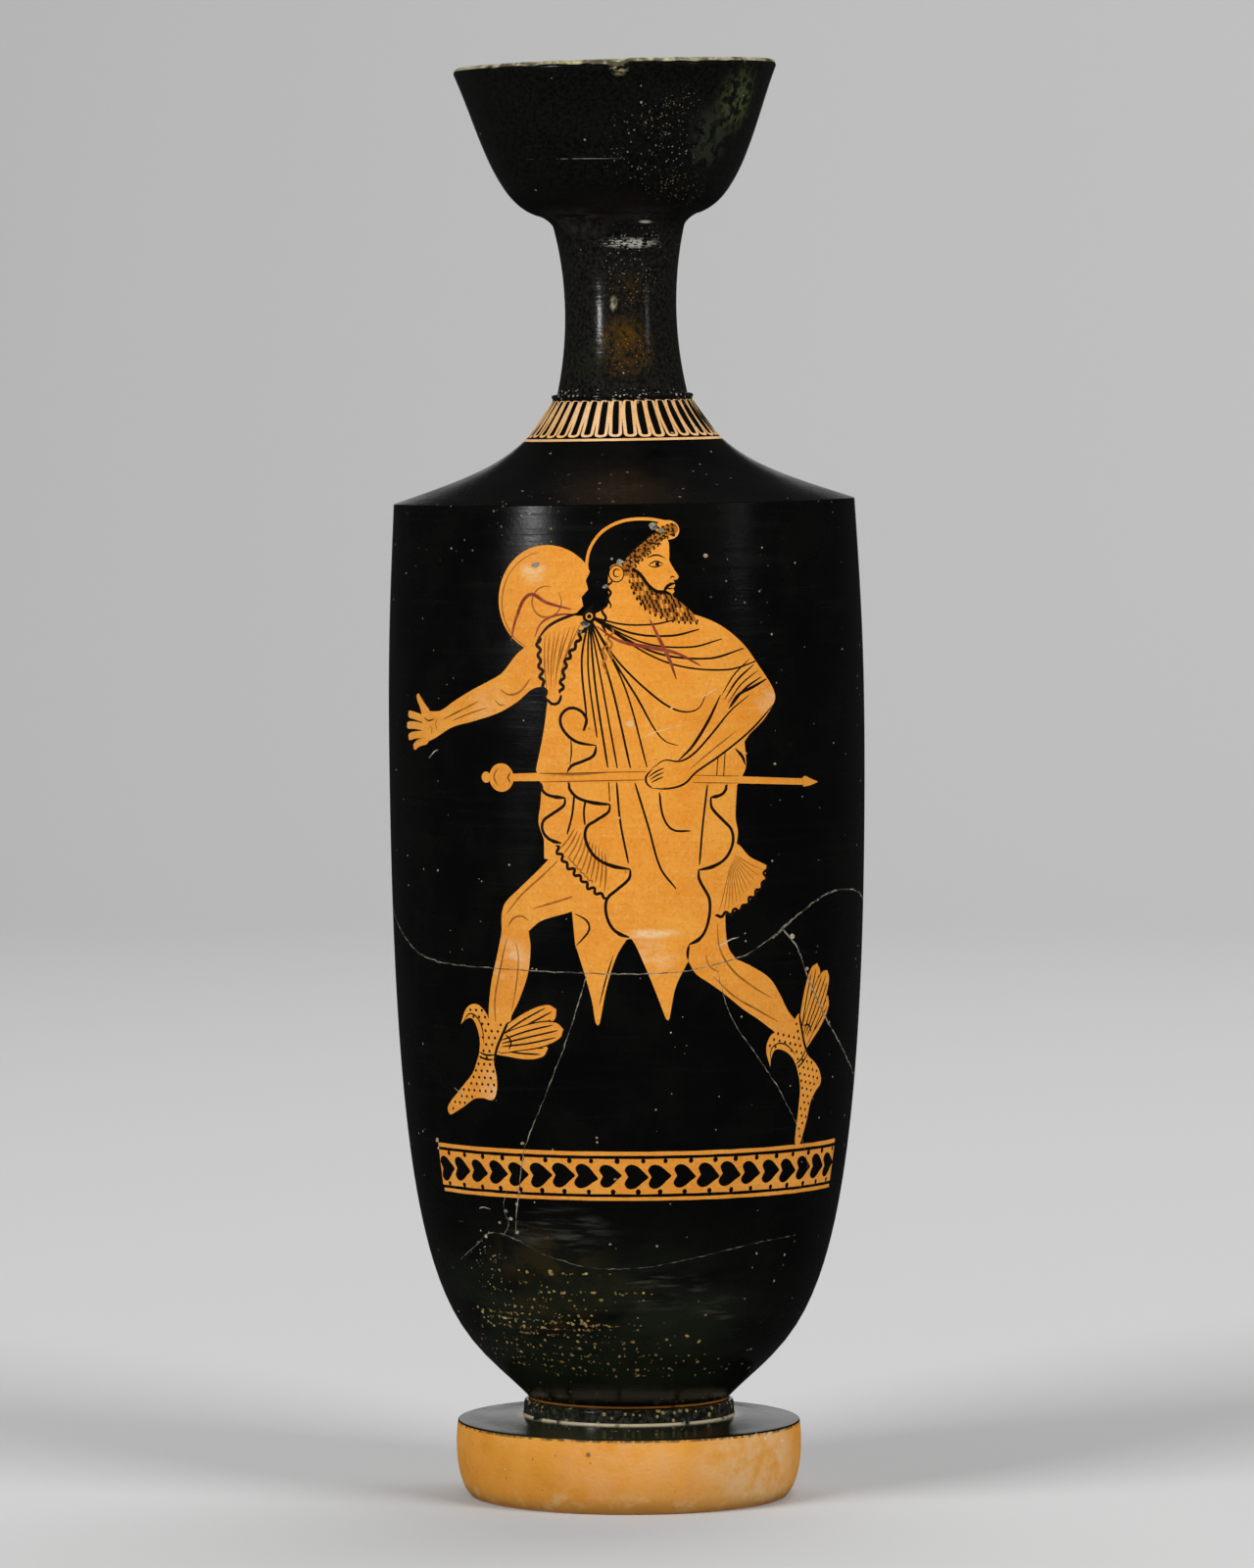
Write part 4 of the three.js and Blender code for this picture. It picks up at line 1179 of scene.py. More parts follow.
def finished_mesh(made, lines, path):
    """The flask's mesh in metres, bent, with its true round normals and its texture map."""
    region = made.faces.layers.int["region"]
    handle_number = len(lines) + 1
    for face in made.faces:
        if face[region] == handle_number:
            face.material_index = GLOSS
        elif lines[face[region] - 1]["name"] not in ("wall", "tongues"):
            face.material_index = lines[face[region] - 1]["finish"]
        face.smooth = True
    bmesh.ops.triangulate(made, faces=[face for face in made.faces if len(face.verts) > 4])
    made.verts.index_update()
    mesh = bpy.data.meshes.new("flask_terracotta")
    made.to_mesh(mesh)
    made.free()

    count = len(mesh.loops)
    places = np.empty(len(mesh.vertices) * 3)
    mesh.vertices.foreach_get("co", places)
    places = places.reshape(-1, 3)
    corner_vert = np.empty(count, int)
    mesh.loops.foreach_get("vertex_index", corner_vert)
    sizes = np.empty(len(mesh.polygons), int)
    mesh.polygons.foreach_get("loop_total", sizes)
    regions = np.empty(len(mesh.polygons), int)
    mesh.attributes["region"].data.foreach_get("value", regions)
    middles = np.empty(len(mesh.polygons) * 3)
    mesh.polygons.foreach_get("center", middles)
    middles = np.repeat(middles.reshape(-1, 3), sizes, axis=0)
    corner_region = np.repeat(regions, sizes)
    corner = places[corner_vert]

    turn = wrapped(np.arctan2(corner[:, 0], -corner[:, 1]), np.arctan2(middles[:, 0], -middles[:, 1]))
    on_axis = np.hypot(corner[:, 0], corner[:, 1]) < 0.01
    turn[on_axis] = np.arctan2(middles[on_axis, 0], -middles[on_axis, 1])
    radius = np.hypot(corner[:, 0], corner[:, 1])
    normals = np.zeros((count, 3))
    texture = np.zeros((count, 2))
    front = math.radians(360 / COLUMNS) * FRONT_HALF
    for number, line in enumerate(lines, 1):
        chosen = np.flatnonzero(corner_region == number)
        share, off, outward = along(line, np.column_stack([radius[chosen], corner[chosen, 2]]))
        a = turn[chosen]
        round_normal = np.column_stack([outward[:, 0] * np.sin(a), -outward[:, 0] * np.cos(a), outward[:, 1]])
        limit = 0.2 if line["name"] in ("wall", "tongues") else 0.01
        true = (off < limit) & (radius[chosen] > 0.01)
        normals[chosen[true]] = round_normal[true]
        u = a / (2 * math.pi) + 0.5
        place = MAP_PLACES[line["name"]]
        if line["name"] == "tongues":
            u, share = share, u
        texture[chosen] = spot_on_map(place, u, share)
        if line["name"] == "wall":
            middle_turn = np.arctan2(middles[chosen, 0], -middles[chosen, 1])
            ahead = np.abs(middle_turn) < front
            texture[chosen[ahead]] = spot_on_map(MAP_PLACES["wall_front"], a[ahead] / (2 * front) + 0.5,
                                                 share[ahead])
            behind = ~ahead
            back = np.where(middle_turn > 0, a - front, a + 2 * math.pi - front)[behind]
            texture[chosen[behind]] = spot_on_map(place, back / (2 * math.pi - 2 * front), share[behind])
    chosen = np.flatnonzero(corner_region == handle_number)
    texture[chosen] = handle_map(path, corner[chosen], middles[chosen])

    bent, slope = bend(places)
    mesh.vertices.foreach_set("co", (bent * MM).ravel())
    tilt = slope[corner_vert]
    x = normals[:, 0] * np.cos(tilt) + normals[:, 2] * np.sin(tilt)
    z = -normals[:, 0] * np.sin(tilt) + normals[:, 2] * np.cos(tilt)
    normals = np.column_stack([x, normals[:, 1], z])
    uv = mesh.uv_layers.new(name="OFBake")
    uv.uv.foreach_set("vector", texture.ravel())
    mesh.attributes.remove(mesh.attributes["region"])
    mesh.update()
    mesh.set_sharp_from_angle(angle=CREASE)
    mesh.normals_split_custom_set(normals)
    return mesh


def wrapped(angle, about):
    """Angles brought within half a turn of others."""
    return about + (angle - about + math.pi) % (2 * math.pi) - math.pi


def spot_on_map(place, across, up):
    left, bottom, right, top = place
    return np.column_stack([left + (right - left) * np.clip(across, 0, 1),
                            bottom + (top - bottom) * np.clip(up, 0, 1)])


def handle_map(path, corners, middles):
    """The strap's place on the map: along its path, and round its section."""
    points = np.array(path)[:, 1:]
    ahead = np.gradient(points, axis=0)
    ahead /= np.linalg.norm(ahead, axis=1, keepdims=True)
    outside = np.column_stack([-ahead[:, 1], ahead[:, 0]])
    found = []
    for places in (corners, middles):
        from_path = places[:, None, 1:] - points[None]
        best = np.linalg.norm(from_path, axis=2).argmin(axis=1)
        rows = np.arange(len(places))
        rise = np.einsum("ij,ij->i", from_path[rows, best], outside[best]) / (HANDLE_THICKNESS / 2)
        further = np.einsum("ij,ij->i", from_path[rows, best], ahead[best])
        found.append((best + further, np.arctan2(rise, places[:, 0] / (HANDLE_WIDTH / 2))))
    around = wrapped(found[0][1], found[1][1])
    return spot_on_map(MAP_PLACES["handle"], found[0][0] / len(path), around / (2 * math.pi) + 0.5)


def bend(places):
    """Leans the upper part to the left, every section staying square to the bent axis."""
    share = places[:, 2] / MOUTH_TOP
    slope = np.arctan(-3 * LEAN * share * share / MOUTH_TOP)
    x = places[:, 0] * np.cos(slope) - LEAN * share ** 3
    z = places[:, 2] - places[:, 0] * np.sin(slope)
    return np.column_stack([x, places[:, 1], z]), slope


def nick_lip(made):
    """Small losses along the lip, the largest in front."""
    rng = random.Random(21)
    nicks = [(1.5, 2.2, 1.0), (-3.5, 3.2, 0.45), (-14, 3, 0.3), (-31, 2.6, 0.25), (28, 2.2, 0.15),
             (120, 3, 0.4)]
    nicks += [(rng.uniform(-180, 180), rng.uniform(1.2, 2.4), rng.uniform(0.1, 0.25)) for _ in range(18)]
    for vert in made.verts:
        x, y, z = vert.co
        if z < LIP_BASE - 1.2 or math.hypot(x, y) < MOUTH_RADIUS - 2.2:
            continue
        turn = math.degrees(math.atan2(x, -y))
        for centre, width, depth in nicks:
            off = abs((turn - centre + 180) % 360 - 180) * math.radians(1) * MOUTH_RADIUS / width
            if off < 1:
                vert.co.z -= depth * (1 - off * off) * (0.3 if z < LIP_BASE else 1)


def build_flask():
    parts = profile()
    lines = measured(parts)
    names = [line["name"] for line in lines]
    shell = turned_shell(lines)
    handle_number = len(lines) + 1
    made = joined_solid(shell, strap(lines, handle_number))
    smooth_roots(made, handle_number)
    nick_lip(made)
    wall = names.index("wall")
    cut_in(made, lines[wall], wall + 1, painted_wall(), BODY_RADIUS, WALL_ROWS, True)
    tongues = names.index("tongues")
    band = painted_tongues(lines[tongues]["lengths"][-1])
    cut_in(made, lines[tongues], tongues + 1, band, TONGUE_ROUND, TONGUE_ROWS, False)
    return finished_mesh(made, lines, handle_path(lines))


def linear(code):
    """An sRGB hex colour as linear values."""
    values = [int(code[i:i + 2], 16) / 255 for i in (1, 3, 5)]
    return [v / 12.92 if v <= 0.04045 else ((v + 0.055) / 1.055) ** 2.4 for v in values] + [1.0]


def per_mm(size):
    """The scale of a texture whose features are about this many millimetres across."""
    return 1 / (size * MM)


def add(tree, kind, inputs=None, **settings):
    """Adds one node: its own settings, then each input's value or the socket that feeds it."""
    made = tree.nodes.new(kind)
    for name, value in settings.items():
        setattr(made, name, value)
    for name, value in (inputs or {}).items():
        socket = made.inputs[name]
        if isinstance(value, bpy.types.NodeSocket):
            tree.links.new(value, socket)
        else:
            socket.default_value = value
    return made


def mottled(tree, coords, size, low, high, detail=5.0, drawn=(1, 1, 1)):
    """Clouds about this many millimetres across, from 0 to 1 between two levels, drawn out along the axes
    whose scale is below 1."""
    place = add(tree, "ShaderNodeMapping", {"Vector": coords, "Scale": drawn})
    clouds = add(tree, "ShaderNodeTexNoise", {"Vector": place.outputs[0], "Scale": per_mm(size),
                                              "Detail": detail, "Roughness": 0.6})
    return add(tree, "ShaderNodeMapRange",
               {"Value": clouds.outputs["Fac"], "From Min": low, "From Max": high},
               interpolation_type="SMOOTHSTEP").outputs[0]


def near(tree, coords, centre, radius, pressed=(1, 1, 1)):
    """1 at a place in millimetres, falling to 0 at a radius, flatter along axes whose scale is above 1."""
    place = [c * s * MM for c, s in zip(centre, pressed)]
    scaled = add(tree, "ShaderNodeMapping", {"Vector": coords, "Scale": pressed})
    gap = add(tree, "ShaderNodeVectorMath", {0: scaled.outputs[0], 1: place}, operation="DISTANCE")
    return add(tree, "ShaderNodeMapRange",
               {"Value": gap.outputs["Value"], "From Min": radius * MM, "From Max": radius * MM * 0.3},
               interpolation_type="SMOOTHSTEP").outputs[0]


def between_heights(tree, coords, low, high, edge):
    """1 between two heights and 0 outside them, with edges this soft."""
    height = add(tree, "ShaderNodeSeparateXYZ", {0: coords}).outputs["Z"]
    over = add(tree, "ShaderNodeMapRange",
               {"Value": height, "From Min": (low - edge) * MM, "From Max": low * MM})
    under = add(tree, "ShaderNodeMapRange",
                {"Value": height, "From Min": (high + edge) * MM, "From Max": high * MM})
    return add(tree, "ShaderNodeMath", {0: over.outputs[0], 1: under.outputs[0]},
               operation="MULTIPLY").outputs[0]


def specks(tree, coords, spacing, size, share):
    """Scattered spots: about one in a cell of this spacing, of up to this size, in a share of the cells."""
    cells = add(tree, "ShaderNodeTexVoronoi", {"Vector": coords, "Scale": per_mm(spacing)})
    draw = add(tree, "ShaderNodeSeparateColor", {"Color": cells.outputs["Color"]})
    chosen = add(tree, "ShaderNodeMath", {0: draw.outputs[0], 1: 1 - share}, operation="GREATER_THAN")
    limit = add(tree, "ShaderNodeMapRange", {"Value": draw.outputs[1], "To Min": size / spacing * 0.2,
                                             "To Max": size / spacing * 0.5})
    inside = add(tree, "ShaderNodeMath", {0: cells.outputs["Distance"], 1: limit.outputs[0]},
                 operation="LESS_THAN")
    return add(tree, "ShaderNodeMath", {0: chosen.outputs[0], 1: inside.outputs[0]},
               operation="MULTIPLY").outputs[0]


def stained(tree, colour, code, strength, *places):
    """A colour laid over another where all of these places overlap."""
    cover = add(tree, "ShaderNodeMath", {0: places[0], 1: strength}, operation="MULTIPLY").outputs[0]
    for place in places[1:]:
        cover = add(tree, "ShaderNodeMath", {0: cover, 1: place}, operation="MULTIPLY").outputs[0]
    return add(tree, "ShaderNodeMix", {"Factor": cover, "A": colour, "B": linear(code)},
               data_type="RGBA").outputs["Result"]


def finish_surface(tree, shader, colour, height, depth):
    """Joins the colour, and relief this many millimetres deep, to the shader."""
    tree.links.new(colour, shader.inputs["Base Color"])
    relief = add(tree, "ShaderNodeBump", {"Strength": 1.0, "Distance": depth * MM, "Height": height})
    tree.links.new(relief.outputs[0], shader.inputs["Normal"])


def new_material(name):
    material = bpy.data.materials.new(name)
    material.use_nodes = True
    tree = material.node_tree
    tree.nodes.clear()
    shader = tree.nodes.new("ShaderNodeBsdfPrincipled")
    output = tree.nodes.new("ShaderNodeOutputMaterial")
    tree.links.new(shader.outputs[0], output.inputs["Surface"])
    coords = tree.nodes.new("ShaderNodeTexCoord").outputs["Object"]
    return material, tree, shader, coords


ROUND_LINES = (0.05, 0.05, 1.0)  # draws a pattern out round the flask, as the wheel does


def black_gloss():
    """Fired slip gloss: a skin of fine clay, burnt almost black and half glassy. It mirrors softly, shows the
    brush's round streaks, and turns olive or brown where the kiln's air got at it."""
    material, tree, shader, coords = new_material("black_slip_gloss")
    streaks = mottled(tree, coords, 1.6, 0.5, 0.8, 5, ROUND_LINES)
    clouds = mottled(tree, coords, 14, 0.35, 0.7)
    colour = stained(tree, linear("#050505"), "#0a0a09", 1.0, clouds)
    colour = stained(tree, colour, "#161513", 0.3, streaks)
    haze_and_sheen = mottled(tree, coords, 0.8, 0.3, 0.7, 3)
    colour = stained(tree, colour, "#171715", 0.8, between_heights(tree, coords, 302, 340, 6), haze_and_sheen)
    # The neck is painted a lighter grey: a painted sheen standing in for the light it mirrors, broken by a
    # fine mottle.
    colour = stained(tree, colour, "#24231f", 0.8, between_heights(tree, coords, 261, 300, 4), haze_and_sheen)
    # The lower body is painted olive: partly the misfired tint of the gloss, partly a painted reflection of
    # the ground below it.
    lower_body = between_heights(tree, coords, 0, 46, 26)
    colour = stained(tree, colour, "#1f2417", 0.95, lower_body,
                     near(tree, coords, (-12, -48, 44), 58, (1, 0.6, 1)),
                     mottled(tree, coords, 20, 0.3, 0.6, 6, (0.6, 0.6, 2.2)))
    # Brown, olive and green where the firing went a little wrong
    stains = [
        ((-20, -44, 60), 20, "#2c2410", (1, 1, 2.0), 0.8, 9),
        ((-18, -38, 47), 15, "#2e2410", (1, 1, 2.2), 0.7, 7),
        ((-6, -46, 52), 15, "#24240f", (1, 1, 2.0), 0.7, 8),
        ((14, -38, 44), 15, "#1d2413", (1, 1, 1.6), 0.7, 9),
        ((-0.6, -14.5, 271), 9, "#3a2a10", (1, 1, 0.95), 0.9, 1.2),
        ((-2, -14.5, 273.6), 6, "#4c340f", (1, 1, 1.1), 0.8, 2.5),
        ((-0.6, -14.5, 284.8), 7, "#2a200e", (1, 1, 1.6), 0.8, 1.4),
        ((-9, -11, 268), 6, "#1c2012", (1, 1, 1), 0.8, 2),
        ((27, -21.5, 327), 10, "#434a2c", (1, 1, 0.9), 0.85, 1.8),
        ((20, -24, 318), 9, "#2e3226", (1, 1, 0.7), 0.75, 2.4),
        ((-12, -12, 301), 11, "#3b3934", (1, 1, 2), 0.8, 2),
        ((3, -16, 302), 9, "#33312c", (1, 1, 3), 0.7, 1.2),
        ((34, 12, 326), 14, "#26281c", (1, 1, 1), 0.6, 4),
    ]
    for centre, radius, code, pressed, strength, size in stains:
        ragged = mottled(tree, coords, size, 0.42, 0.58, 8)
        colour = stained(tree, colour, code, strength, near(tree, coords, centre, radius, pressed), ragged)
    # Dust and pinholes everywhere, and grit where the slip was thin
    colour = stained(tree, colour, "#a59c88", 0.75, specks(tree, coords, 3.4, 0.6, 0.4))
    colour = stained(tree, colour, "#8f7a4a", 0.8, specks(tree, coords, 2.6, 0.7, 0.3), lower_body)
    # The real grit is finer than a pixel, so it is drawn coarser here, as it has to show.
    grit = [((6, -29, 317), 15, 0.8, 0.42, 0.6, "#8f8a76"), ((7.5, -31, 323.6), 6, 0.7, 0.42, 0.7, "#7a7644"),
            ((12, -30, 327), 6, 0.7, 0.42, 0.7, "#7a7644"),
            ((9.5, -21.5, 308.4), 6.5, 0.7, 0.42, 0.8, "#887639"),
            ((14, -18.5, 306), 7, 0.7, 0.42, 0.8, "#7e6932"),
            ((2, -15.4, 292), 12, 0.7, 0.38, 0.6, "#8d8774"),
            ((-19, -51, 227), 18, 1.6, 0.6, 0.5, "#8a7a4c"), ((-33, -44, 228), 12, 1.8, 0.6, 0.4, "#77705a"),
            ((-0.6, -14.5, 270.2), 9.5, 0.7, 0.42, 0.6, "#7c5420"),
            ((-0.6, -14.5, 284.6), 8, 0.7, 0.4, 0.6, "#855a22"),
            ((26, -49, 216), 12, 1.9, 0.6, 0.4, "#6f6a5c"),
            ((4, -41, 241), 22, 3.0, 0.7, 0.4, "#8f897a")]
    for centre, radius, spacing, size, share, code in grit:
        colour = stained(tree, colour, code, 0.85, specks(tree, coords, spacing, size, share),
                         near(tree, coords, centre, radius))
    rubbed = mottled(tree, coords, 1.2, 0.45, 0.7, 4, (0.12, 0.12, 1))
    for centre, radius in (((-18, -50, 67), 17), ((8, -46, 53), 14), ((24, -42, 47), 12)):
        colour = stained(tree, colour, "#46443e", 0.75, rubbed,
                         near(tree, coords, centre, radius, (1, 1, 2.2)))
    collar = between_heights(tree, coords, 257.8, 260.6, 0.6)
    colour = stained(tree, colour, "#a39c8b", 0.8, specks(tree, coords, 0.9, 0.7, 0.7), collar,
                     mottled(tree, coords, 6, 0.4, 0.55))
    moulding = between_heights(tree, coords, 19.9, 22.6, 0.3)
    colour = stained(tree, colour, "#b79f66", 0.85, specks(tree, coords, 1.8, 1.2, 0.6), moulding)
    colour = stained(tree, colour, "#45443f", 0.7, moulding, mottled(tree, coords, 1.2, 0.4, 0.7))
    colour = stained(tree, colour, "#c4b698", 0.85, between_heights(tree, coords, 19.22, 19.6, 0.1),
                     mottled(tree, coords, 5, 0.38, 0.5, 6))
    # A thin line of bare clay in the groove over the moulding
    colour = stained(tree, colour, "#b8742e", 0.9, between_heights(tree, coords, 23.15, 23.5, 0.1),
                     mottled(tree, coords, 5, 0.3, 0.42, 6))
    scuffs = [((0.2, -15.5, 295), 9.4, (1, 1, 6), 0.5, "#c4c1b6"),
              ((-13.4, -28.4, 314.2), 14, (1, 1, 90), 2.4, "#8f8c82"),
              ((-2.3, -37.3, 335), 2.6, (1, 1, 1.1), 1.0, "#b9aa84")]
    for centre, radius, pressed, size, code in scuffs:
        colour = stained(tree, colour, code, 0.8, near(tree, coords, centre, radius, pressed),
                         mottled(tree, coords, size, 0.46, 0.56, 3, (0.35, 0.35, 1)))
    # A pale ringed pit in the neck, and a bright nick where the mouth joins it
    pitted = mottled(tree, coords, 1.3, 0.36, 0.52, 3)
    colour = stained(tree, colour, "#989279", 0.9,
                     near(tree, coords, (-3.6, -14.4, 280.9), 1.8, (1.6, 0.2, 0.8)), pitted)
    colour = stained(tree, colour, "#3c3a30", 0.95,
                     near(tree, coords, (-3.3, -14.4, 281.3), 1.1, (1.5, 0.2, 0.8)))
    colour = stained(tree, colour, "#d6d2c4", 0.9,
                     near(tree, coords, (3.8, -15.6, 299.9), 1.5, (0.8, 0.2, 3)))
    worn = add(tree, "ShaderNodeMapRange", {"Value": clouds, "To Min": 0.12, "To Max": 0.2})
    # The wall is duller than the neck, and dust dulls the joint under the mouth.
    handled = add(tree, "ShaderNodeMath", {0: between_heights(tree, coords, 40, 240, 8), 1: 0.1,
                                           2: worn.outputs[0]}, operation="MULTIPLY_ADD")
    dusty = add(tree, "ShaderNodeMath", {0: between_heights(tree, coords, 299, 305, 4), 1: 0.3,
                                         2: handled.outputs[0]}, operation="MULTIPLY_ADD")
    streaked = add(tree, "ShaderNodeMath", {0: streaks, 1: 0.06, 2: dusty.outputs[0]},
                   operation="MULTIPLY_ADD")
    tree.links.new(streaked.outputs[0], shader.inputs["Roughness"])
    shader.inputs["IOR"].default_value = 1.5
    shader.inputs["Specular IOR Level"].default_value = 0.42
    rings = mottled(tree, coords, 3.2, 0.3, 0.7, 4, ROUND_LINES)
    skin = mottled(tree, coords, 0.9, 0.3, 0.7, 3)
    relief = add(tree, "ShaderNodeMath", {0: skin, 1: 0.3, 2: rings}, operation="MULTIPLY_ADD").outputs[0]
    finish_surface(tree, shader, colour, relief, 0.03)
    return material


def reserved_clay(name, code, warm, pale):
    """Iron-rich fired clay with a rubbed ochre wash, left free of slip: warm orange, matt with a faint sheen,
    faintly streaked by the wheel and bloomed where it is worn."""
    material, tree, shader, coords = new_material(name)
    clouds = mottled(tree, coords, 11, 0.32, 0.68)
    streaks = mottled(tree, coords, 1.2, 0.45, 0.75, 4, ROUND_LINES)
    colour = stained(tree, linear(code), warm, 1.0, clouds)
    colour = stained(tree, colour, pale, 0.3, streaks)
    # The grain is finer than a pixel, so it is drawn coarser here, as it has to show.
    colour = stained(tree, colour, "#b06a1e", 0.4, mottled(tree, coords, 0.7, 0.48, 0.75, 3))
    colour = stained(tree, colour, "#f4c47c", 0.3, mottled(tree, coords, 0.9, 0.52, 0.78, 3))
    blooms = (((-32, -46, 188), 9, 0.15, 1.4), ((4.5, -55.8, 136.4), 9, 0.8, 6),
              ((4, -55.8, 131), 9, 0.3, 1.6), ((-29, -48, 129), 9, 0.5, 1.2), ((-52, -20, 182), 7, 0.25, 1),
              ((-22, -51, 219.5), 4, 0.6, 1), ((33, -45, 190), 6, 0.3, 1), ((-32, -46, 100), 7, 0.4, 1))
    for centre, radius, strength, pressed in blooms:
        colour = stained(tree, colour, "#ead0a4", strength,
                         near(tree, coords, centre, radius, (1, 1, pressed)),
                         mottled(tree, coords, 3.5, 0.4, 0.6, 6, (0.5, 0.5, 1)))
    colour = stained(tree, colour, "#7e4a1c", 0.6, specks(tree, coords, 4.2, 0.6, 0.3))
    rubbed = add(tree, "ShaderNodeMapRange", {"Value": clouds, "To Min": 0.46, "To Max": 0.6})
    tree.links.new(rubbed.outputs[0], shader.inputs["Roughness"])
    shader.inputs["Specular IOR Level"].default_value = 0.3
    finish_surface(tree, shader, colour, streaks, 0.02)
    return material


def painted_line(name, code, other, roughness):
    """Slip drawn with a brush: relief line where it is thick and dark, golden where it is thinned."""
    material, tree, shader, coords = new_material(name)
    clouds = mottled(tree, coords, 2.4, 0.3, 0.7)
    shader.inputs["Roughness"].default_value = roughness
    shader.inputs["Specular IOR Level"].default_value = 0.3
    finish_surface(tree, shader, stained(tree, linear(code), other, 1.0, clouds), clouds, 0.02)
    return material


def bared_clay(name, code, other, size):
    """Clay or old filler without a skin: dusty and quite matt."""
    material, tree, shader, coords = new_material(name)
    grain = mottled(tree, coords, size, 0.38, 0.62, 5)
    shader.inputs["Roughness"].default_value = 0.85
    shader.inputs["Specular IOR Level"].default_value = 0.2
    finish_surface(tree, shader, stained(tree, linear(code), other, 1.0, grain), grain, 0.05)
    return material


def foot_clay():
    """The foot's side: the same clay, handled and dusty, with pale bloom and yellower rubbed ochre."""
    material, tree, shader, coords = new_material("rubbed_foot_clay")
    colour = stained(tree, linear("#d9912e"), "#e09c42", 1.0, mottled(tree, coords, 14, 0.35, 0.65))
    colour = stained(tree, colour, "#c98220", 0.5, mottled(tree, coords, 5, 0.5, 0.7, 6))
    blooms = (((-5, -39, 12), 16, "#e5a467", 0.7), ((12, -38, 9), 12, "#e0a05c", 0.5),
              ((30, -26, 10), 20, "#e2c294", 0.75), ((6, -39, 15), 9, "#e6b074", 0.45),
              ((20, -35, 13), 9, "#e4b67c", 0.45))
    for centre, radius, code, strength in blooms:
        colour = stained(tree, colour, code, strength, near(tree, coords, centre, radius),
                         mottled(tree, coords, 5, 0.3, 0.7, 6))
    colour = stained(tree, colour, "#bd8a3a", 0.55, between_heights(tree, coords, -1, 1.5, 2.5))
    colour = stained(tree, colour, "#e4c79c", 0.4, between_heights(tree, coords, 1, 3.5, 2),
                     mottled(tree, coords, 6, 0.5, 0.65, 6))
    colour = stained(tree, colour, "#7c5430", 0.6, specks(tree, coords, 2.8, 0.6, 0.3))
    colour = stained(tree, colour, "#efe4d0", 0.7, specks(tree, coords, 4.1, 0.9, 0.3))
    colour = stained(tree, colour, "#5b4a30", 0.8, near(tree, coords, (-9.4, -39.4, 14.3), 0.9))
    colour = stained(tree, colour, "#4a3c1e", 0.85, between_heights(tree, coords, 17.3, 18, 0.3),
                     mottled(tree, coords, 1.6, 0.42, 0.55, 6))
    shader.inputs["Roughness"].default_value = 0.62
    shader.inputs["Specular IOR Level"].default_value = 0.3
    finish_surface(tree, shader, colour, mottled(tree, coords, 0.9, 0.3, 0.7, 4), 0.05)
    return material


def worn_lip():
    """The lip's upper edge, where handling has worn the gloss through to dull greenish tan in patches."""
    material, tree, shader, coords = new_material("worn_lip")
    fine = mottled(tree, coords, 1.2, 0.3, 0.7, 4)
    colour = stained(tree, linear("#6f6a4e"), "#aea483", 1.0, fine)
    colour = stained(tree, colour, "#22221a", 0.85, mottled(tree, coords, 5, 0.46, 0.6, 6))
    shader.inputs["Roughness"].default_value = 0.5
    shader.inputs["Specular IOR Level"].default_value = 0.3
    finish_surface(tree, shader, colour, fine, 0.05)
    return material


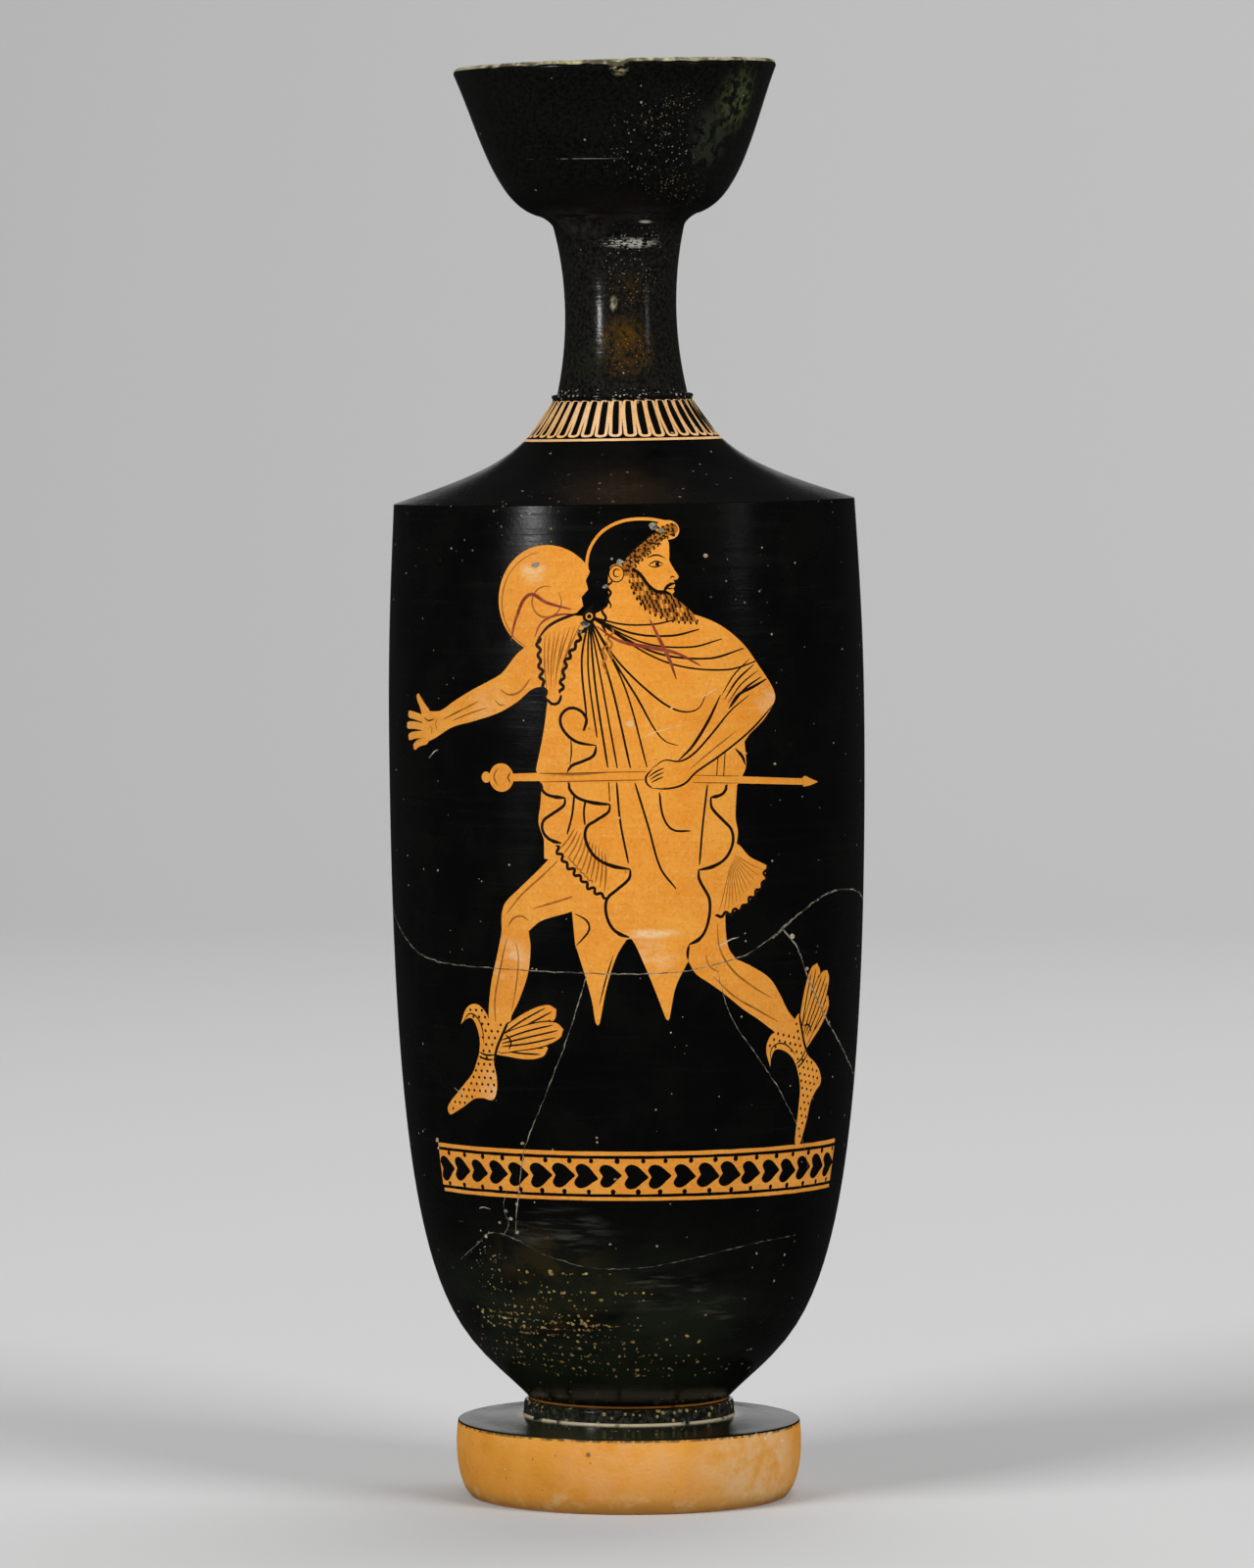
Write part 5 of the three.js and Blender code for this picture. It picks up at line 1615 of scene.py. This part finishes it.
def studio():
    """Seamless pale paper, soft boxes high on both sides that the gloss doesn't mirror, and small lights that
    only the gloss mirrors: two strips beside the neck and a card far behind the foot."""
    paper = bmesh.new()
    half, back, bend_radius, top, front = 6.0, 3.6, 1.6, 3.6, -6.0
    floor = curve((front, 0), towards(OUT, 1), towards(OUT, 1), (back - bend_radius, 0), 2)
    floor += curve(floor[-1], towards(OUT, 0.9), towards(UP, 0.9), (back, bend_radius), 24)[1:]
    floor += [Vector((back, top))]
    chain = [paper.verts.new((-half, y, z)) for y, z in floor]
    edges = [paper.edges.new(pair) for pair in zip(chain, chain[1:])]
    out = bmesh.ops.extrude_edge_only(paper, edges=edges)["geom"]
    bmesh.ops.translate(paper, vec=(2 * half, 0, 0),
                        verts=[v for v in out if isinstance(v, bmesh.types.BMVert)])
    bmesh.ops.recalc_face_normals(paper, faces=paper.faces)
    for face in paper.faces:
        face.smooth = True
    mesh = bpy.data.meshes.new("paper")
    paper.to_mesh(mesh)
    paper.free()
    sheet = bpy.data.objects.new("paper_backdrop", mesh)
    sheet.visible_glossy = False
    bpy.context.collection.objects.link(sheet)
    material, _, shader, _ = new_material("studio_paper")
    shader.inputs["Base Color"].default_value = linear("#b5b5b5")
    shader.inputs["Roughness"].default_value = 0.95
    shader.inputs["Specular IOR Level"].default_value = 0.1
    mesh.materials.append(material)

    flask_middle, flask_neck, wall_behind = Vector((0, 0, 0.17)), Vector((0, 0, 0.3)), Vector((0.6, 3.4, 0.7))
    soft_boxes = [
        ("key_left", (-1.5, -1.5, 2.0), (1.1, 1.1), 66.0, flask_middle),
        ("fill_right", (1.6, -1.4, 1.9), (1.1, 1.1), 52.0, flask_middle),
        ("top", (0.1, 0.7, 2.4), (1.4, 0.8), 16.0, flask_middle),
        ("back_wall", (0.9, 1.2, 2.6), (2.2, 1.2), 62.0, wall_behind),
    ]
    for name, place, size, power, aim in soft_boxes:
        lamp(name, place, size, power, aim).visible_glossy = False
    mirrored = [
        ("strip_left", (-0.385, -0.396, 0.297), (0.045, 0.065), 0.25, flask_neck),
        ("strip_right", (0.44, -0.31, 0.32), (0.04, 0.1), 0.022, flask_neck),
        ("card_behind", (0, 3.2, 0.5), (1.0, 0.9), 1.3, flask_middle),
    ]
    for name, place, size, power, aim in mirrored:
        lamp(name, place, size, power, aim).visible_diffuse = False

    world = bpy.data.worlds.new("studio")
    world.use_nodes = True
    tree = world.node_tree
    tree.nodes.clear()
    ray = tree.nodes.new("ShaderNodeLightPath").outputs["Is Camera Ray"]
    strength = add(tree, "ShaderNodeMapRange", {"Value": ray, "To Min": 0.02, "To Max": 0.5})
    sky = add(tree, "ShaderNodeBackground", {"Color": (1, 1, 1, 1), "Strength": strength.outputs[0]})
    output = tree.nodes.new("ShaderNodeOutputWorld")
    tree.links.new(sky.outputs[0], output.inputs["Surface"])
    bpy.context.scene.world = world


def lamp(name, place, size, power, aim):
    """A flat light that faces a place and isn't seen by the camera."""
    light = bpy.data.lights.new(name, "AREA")
    light.shape = "RECTANGLE"
    light.size, light.size_y = size
    light.energy = power
    made = bpy.data.objects.new(name, light)
    made.location = place
    made.rotation_euler = (aim - Vector(place)).to_track_quat("-Z", "Y").to_euler()
    made.visible_camera = False
    bpy.context.collection.objects.link(made)
    return made


def camera():
    """A long lens just under two metres away, level with the neck's base."""
    eye = Vector((-0.46, -1950, 265)) * MM
    aim = Vector((-0.46, 0, 168)) * MM
    data = bpy.data.cameras.new("camera")
    data.lens = 190.3
    data.sensor_width = 36
    made = bpy.data.objects.new("camera", data)
    made.location = eye
    made.rotation_euler = (aim - eye).to_track_quat("-Z", "Y").to_euler()
    bpy.context.collection.objects.link(made)
    bpy.context.scene.camera = made


camera()
flask = bpy.data.objects.new("flask_terracotta", build_flask())
bpy.context.collection.objects.link(flask)
finishes = {
    GLOSS: black_gloss(),
    CLAY: reserved_clay("reserved_orange_clay", "#e08c28", "#e69a38", "#ecac54"),
    LINE: painted_line("relief_line", "#0e0b08", "#1c140c", 0.4),
    DILUTE: painted_line("thinned_slip", "#8a4d14", "#b06e22", 0.5),
    RED: painted_line("added_red", "#7a2c1c", "#924832", 0.7),
    FILL: bared_clay("crack_filler", "#38352f", "#948d7d", 2.0),
    CHIP: bared_clay("chipped_clay", "#8d7a5c", "#bfb6a2", 2.5),
    PIT: bared_clay("misfired_pit", "#7f6a38", "#b59a5e", 2.5),
    PALE_CLAY: reserved_clay("pale_band_clay", "#d0a066", "#dcb488", "#e6d0ac"),
    RAW: bared_clay("raw_terracotta", "#c07c48", "#cf9060", 8.0),
    FOOT_CLAY: foot_clay(),
    LIP_CLAY: worn_lip(),
}
for number in range(len(finishes)):
    flask.data.materials.append(finishes[number])
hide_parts("flask")
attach(flask, "root")
studio()
bpy.context.scene.view_settings.view_transform = "Standard"

bpy.context.view_layer.update()
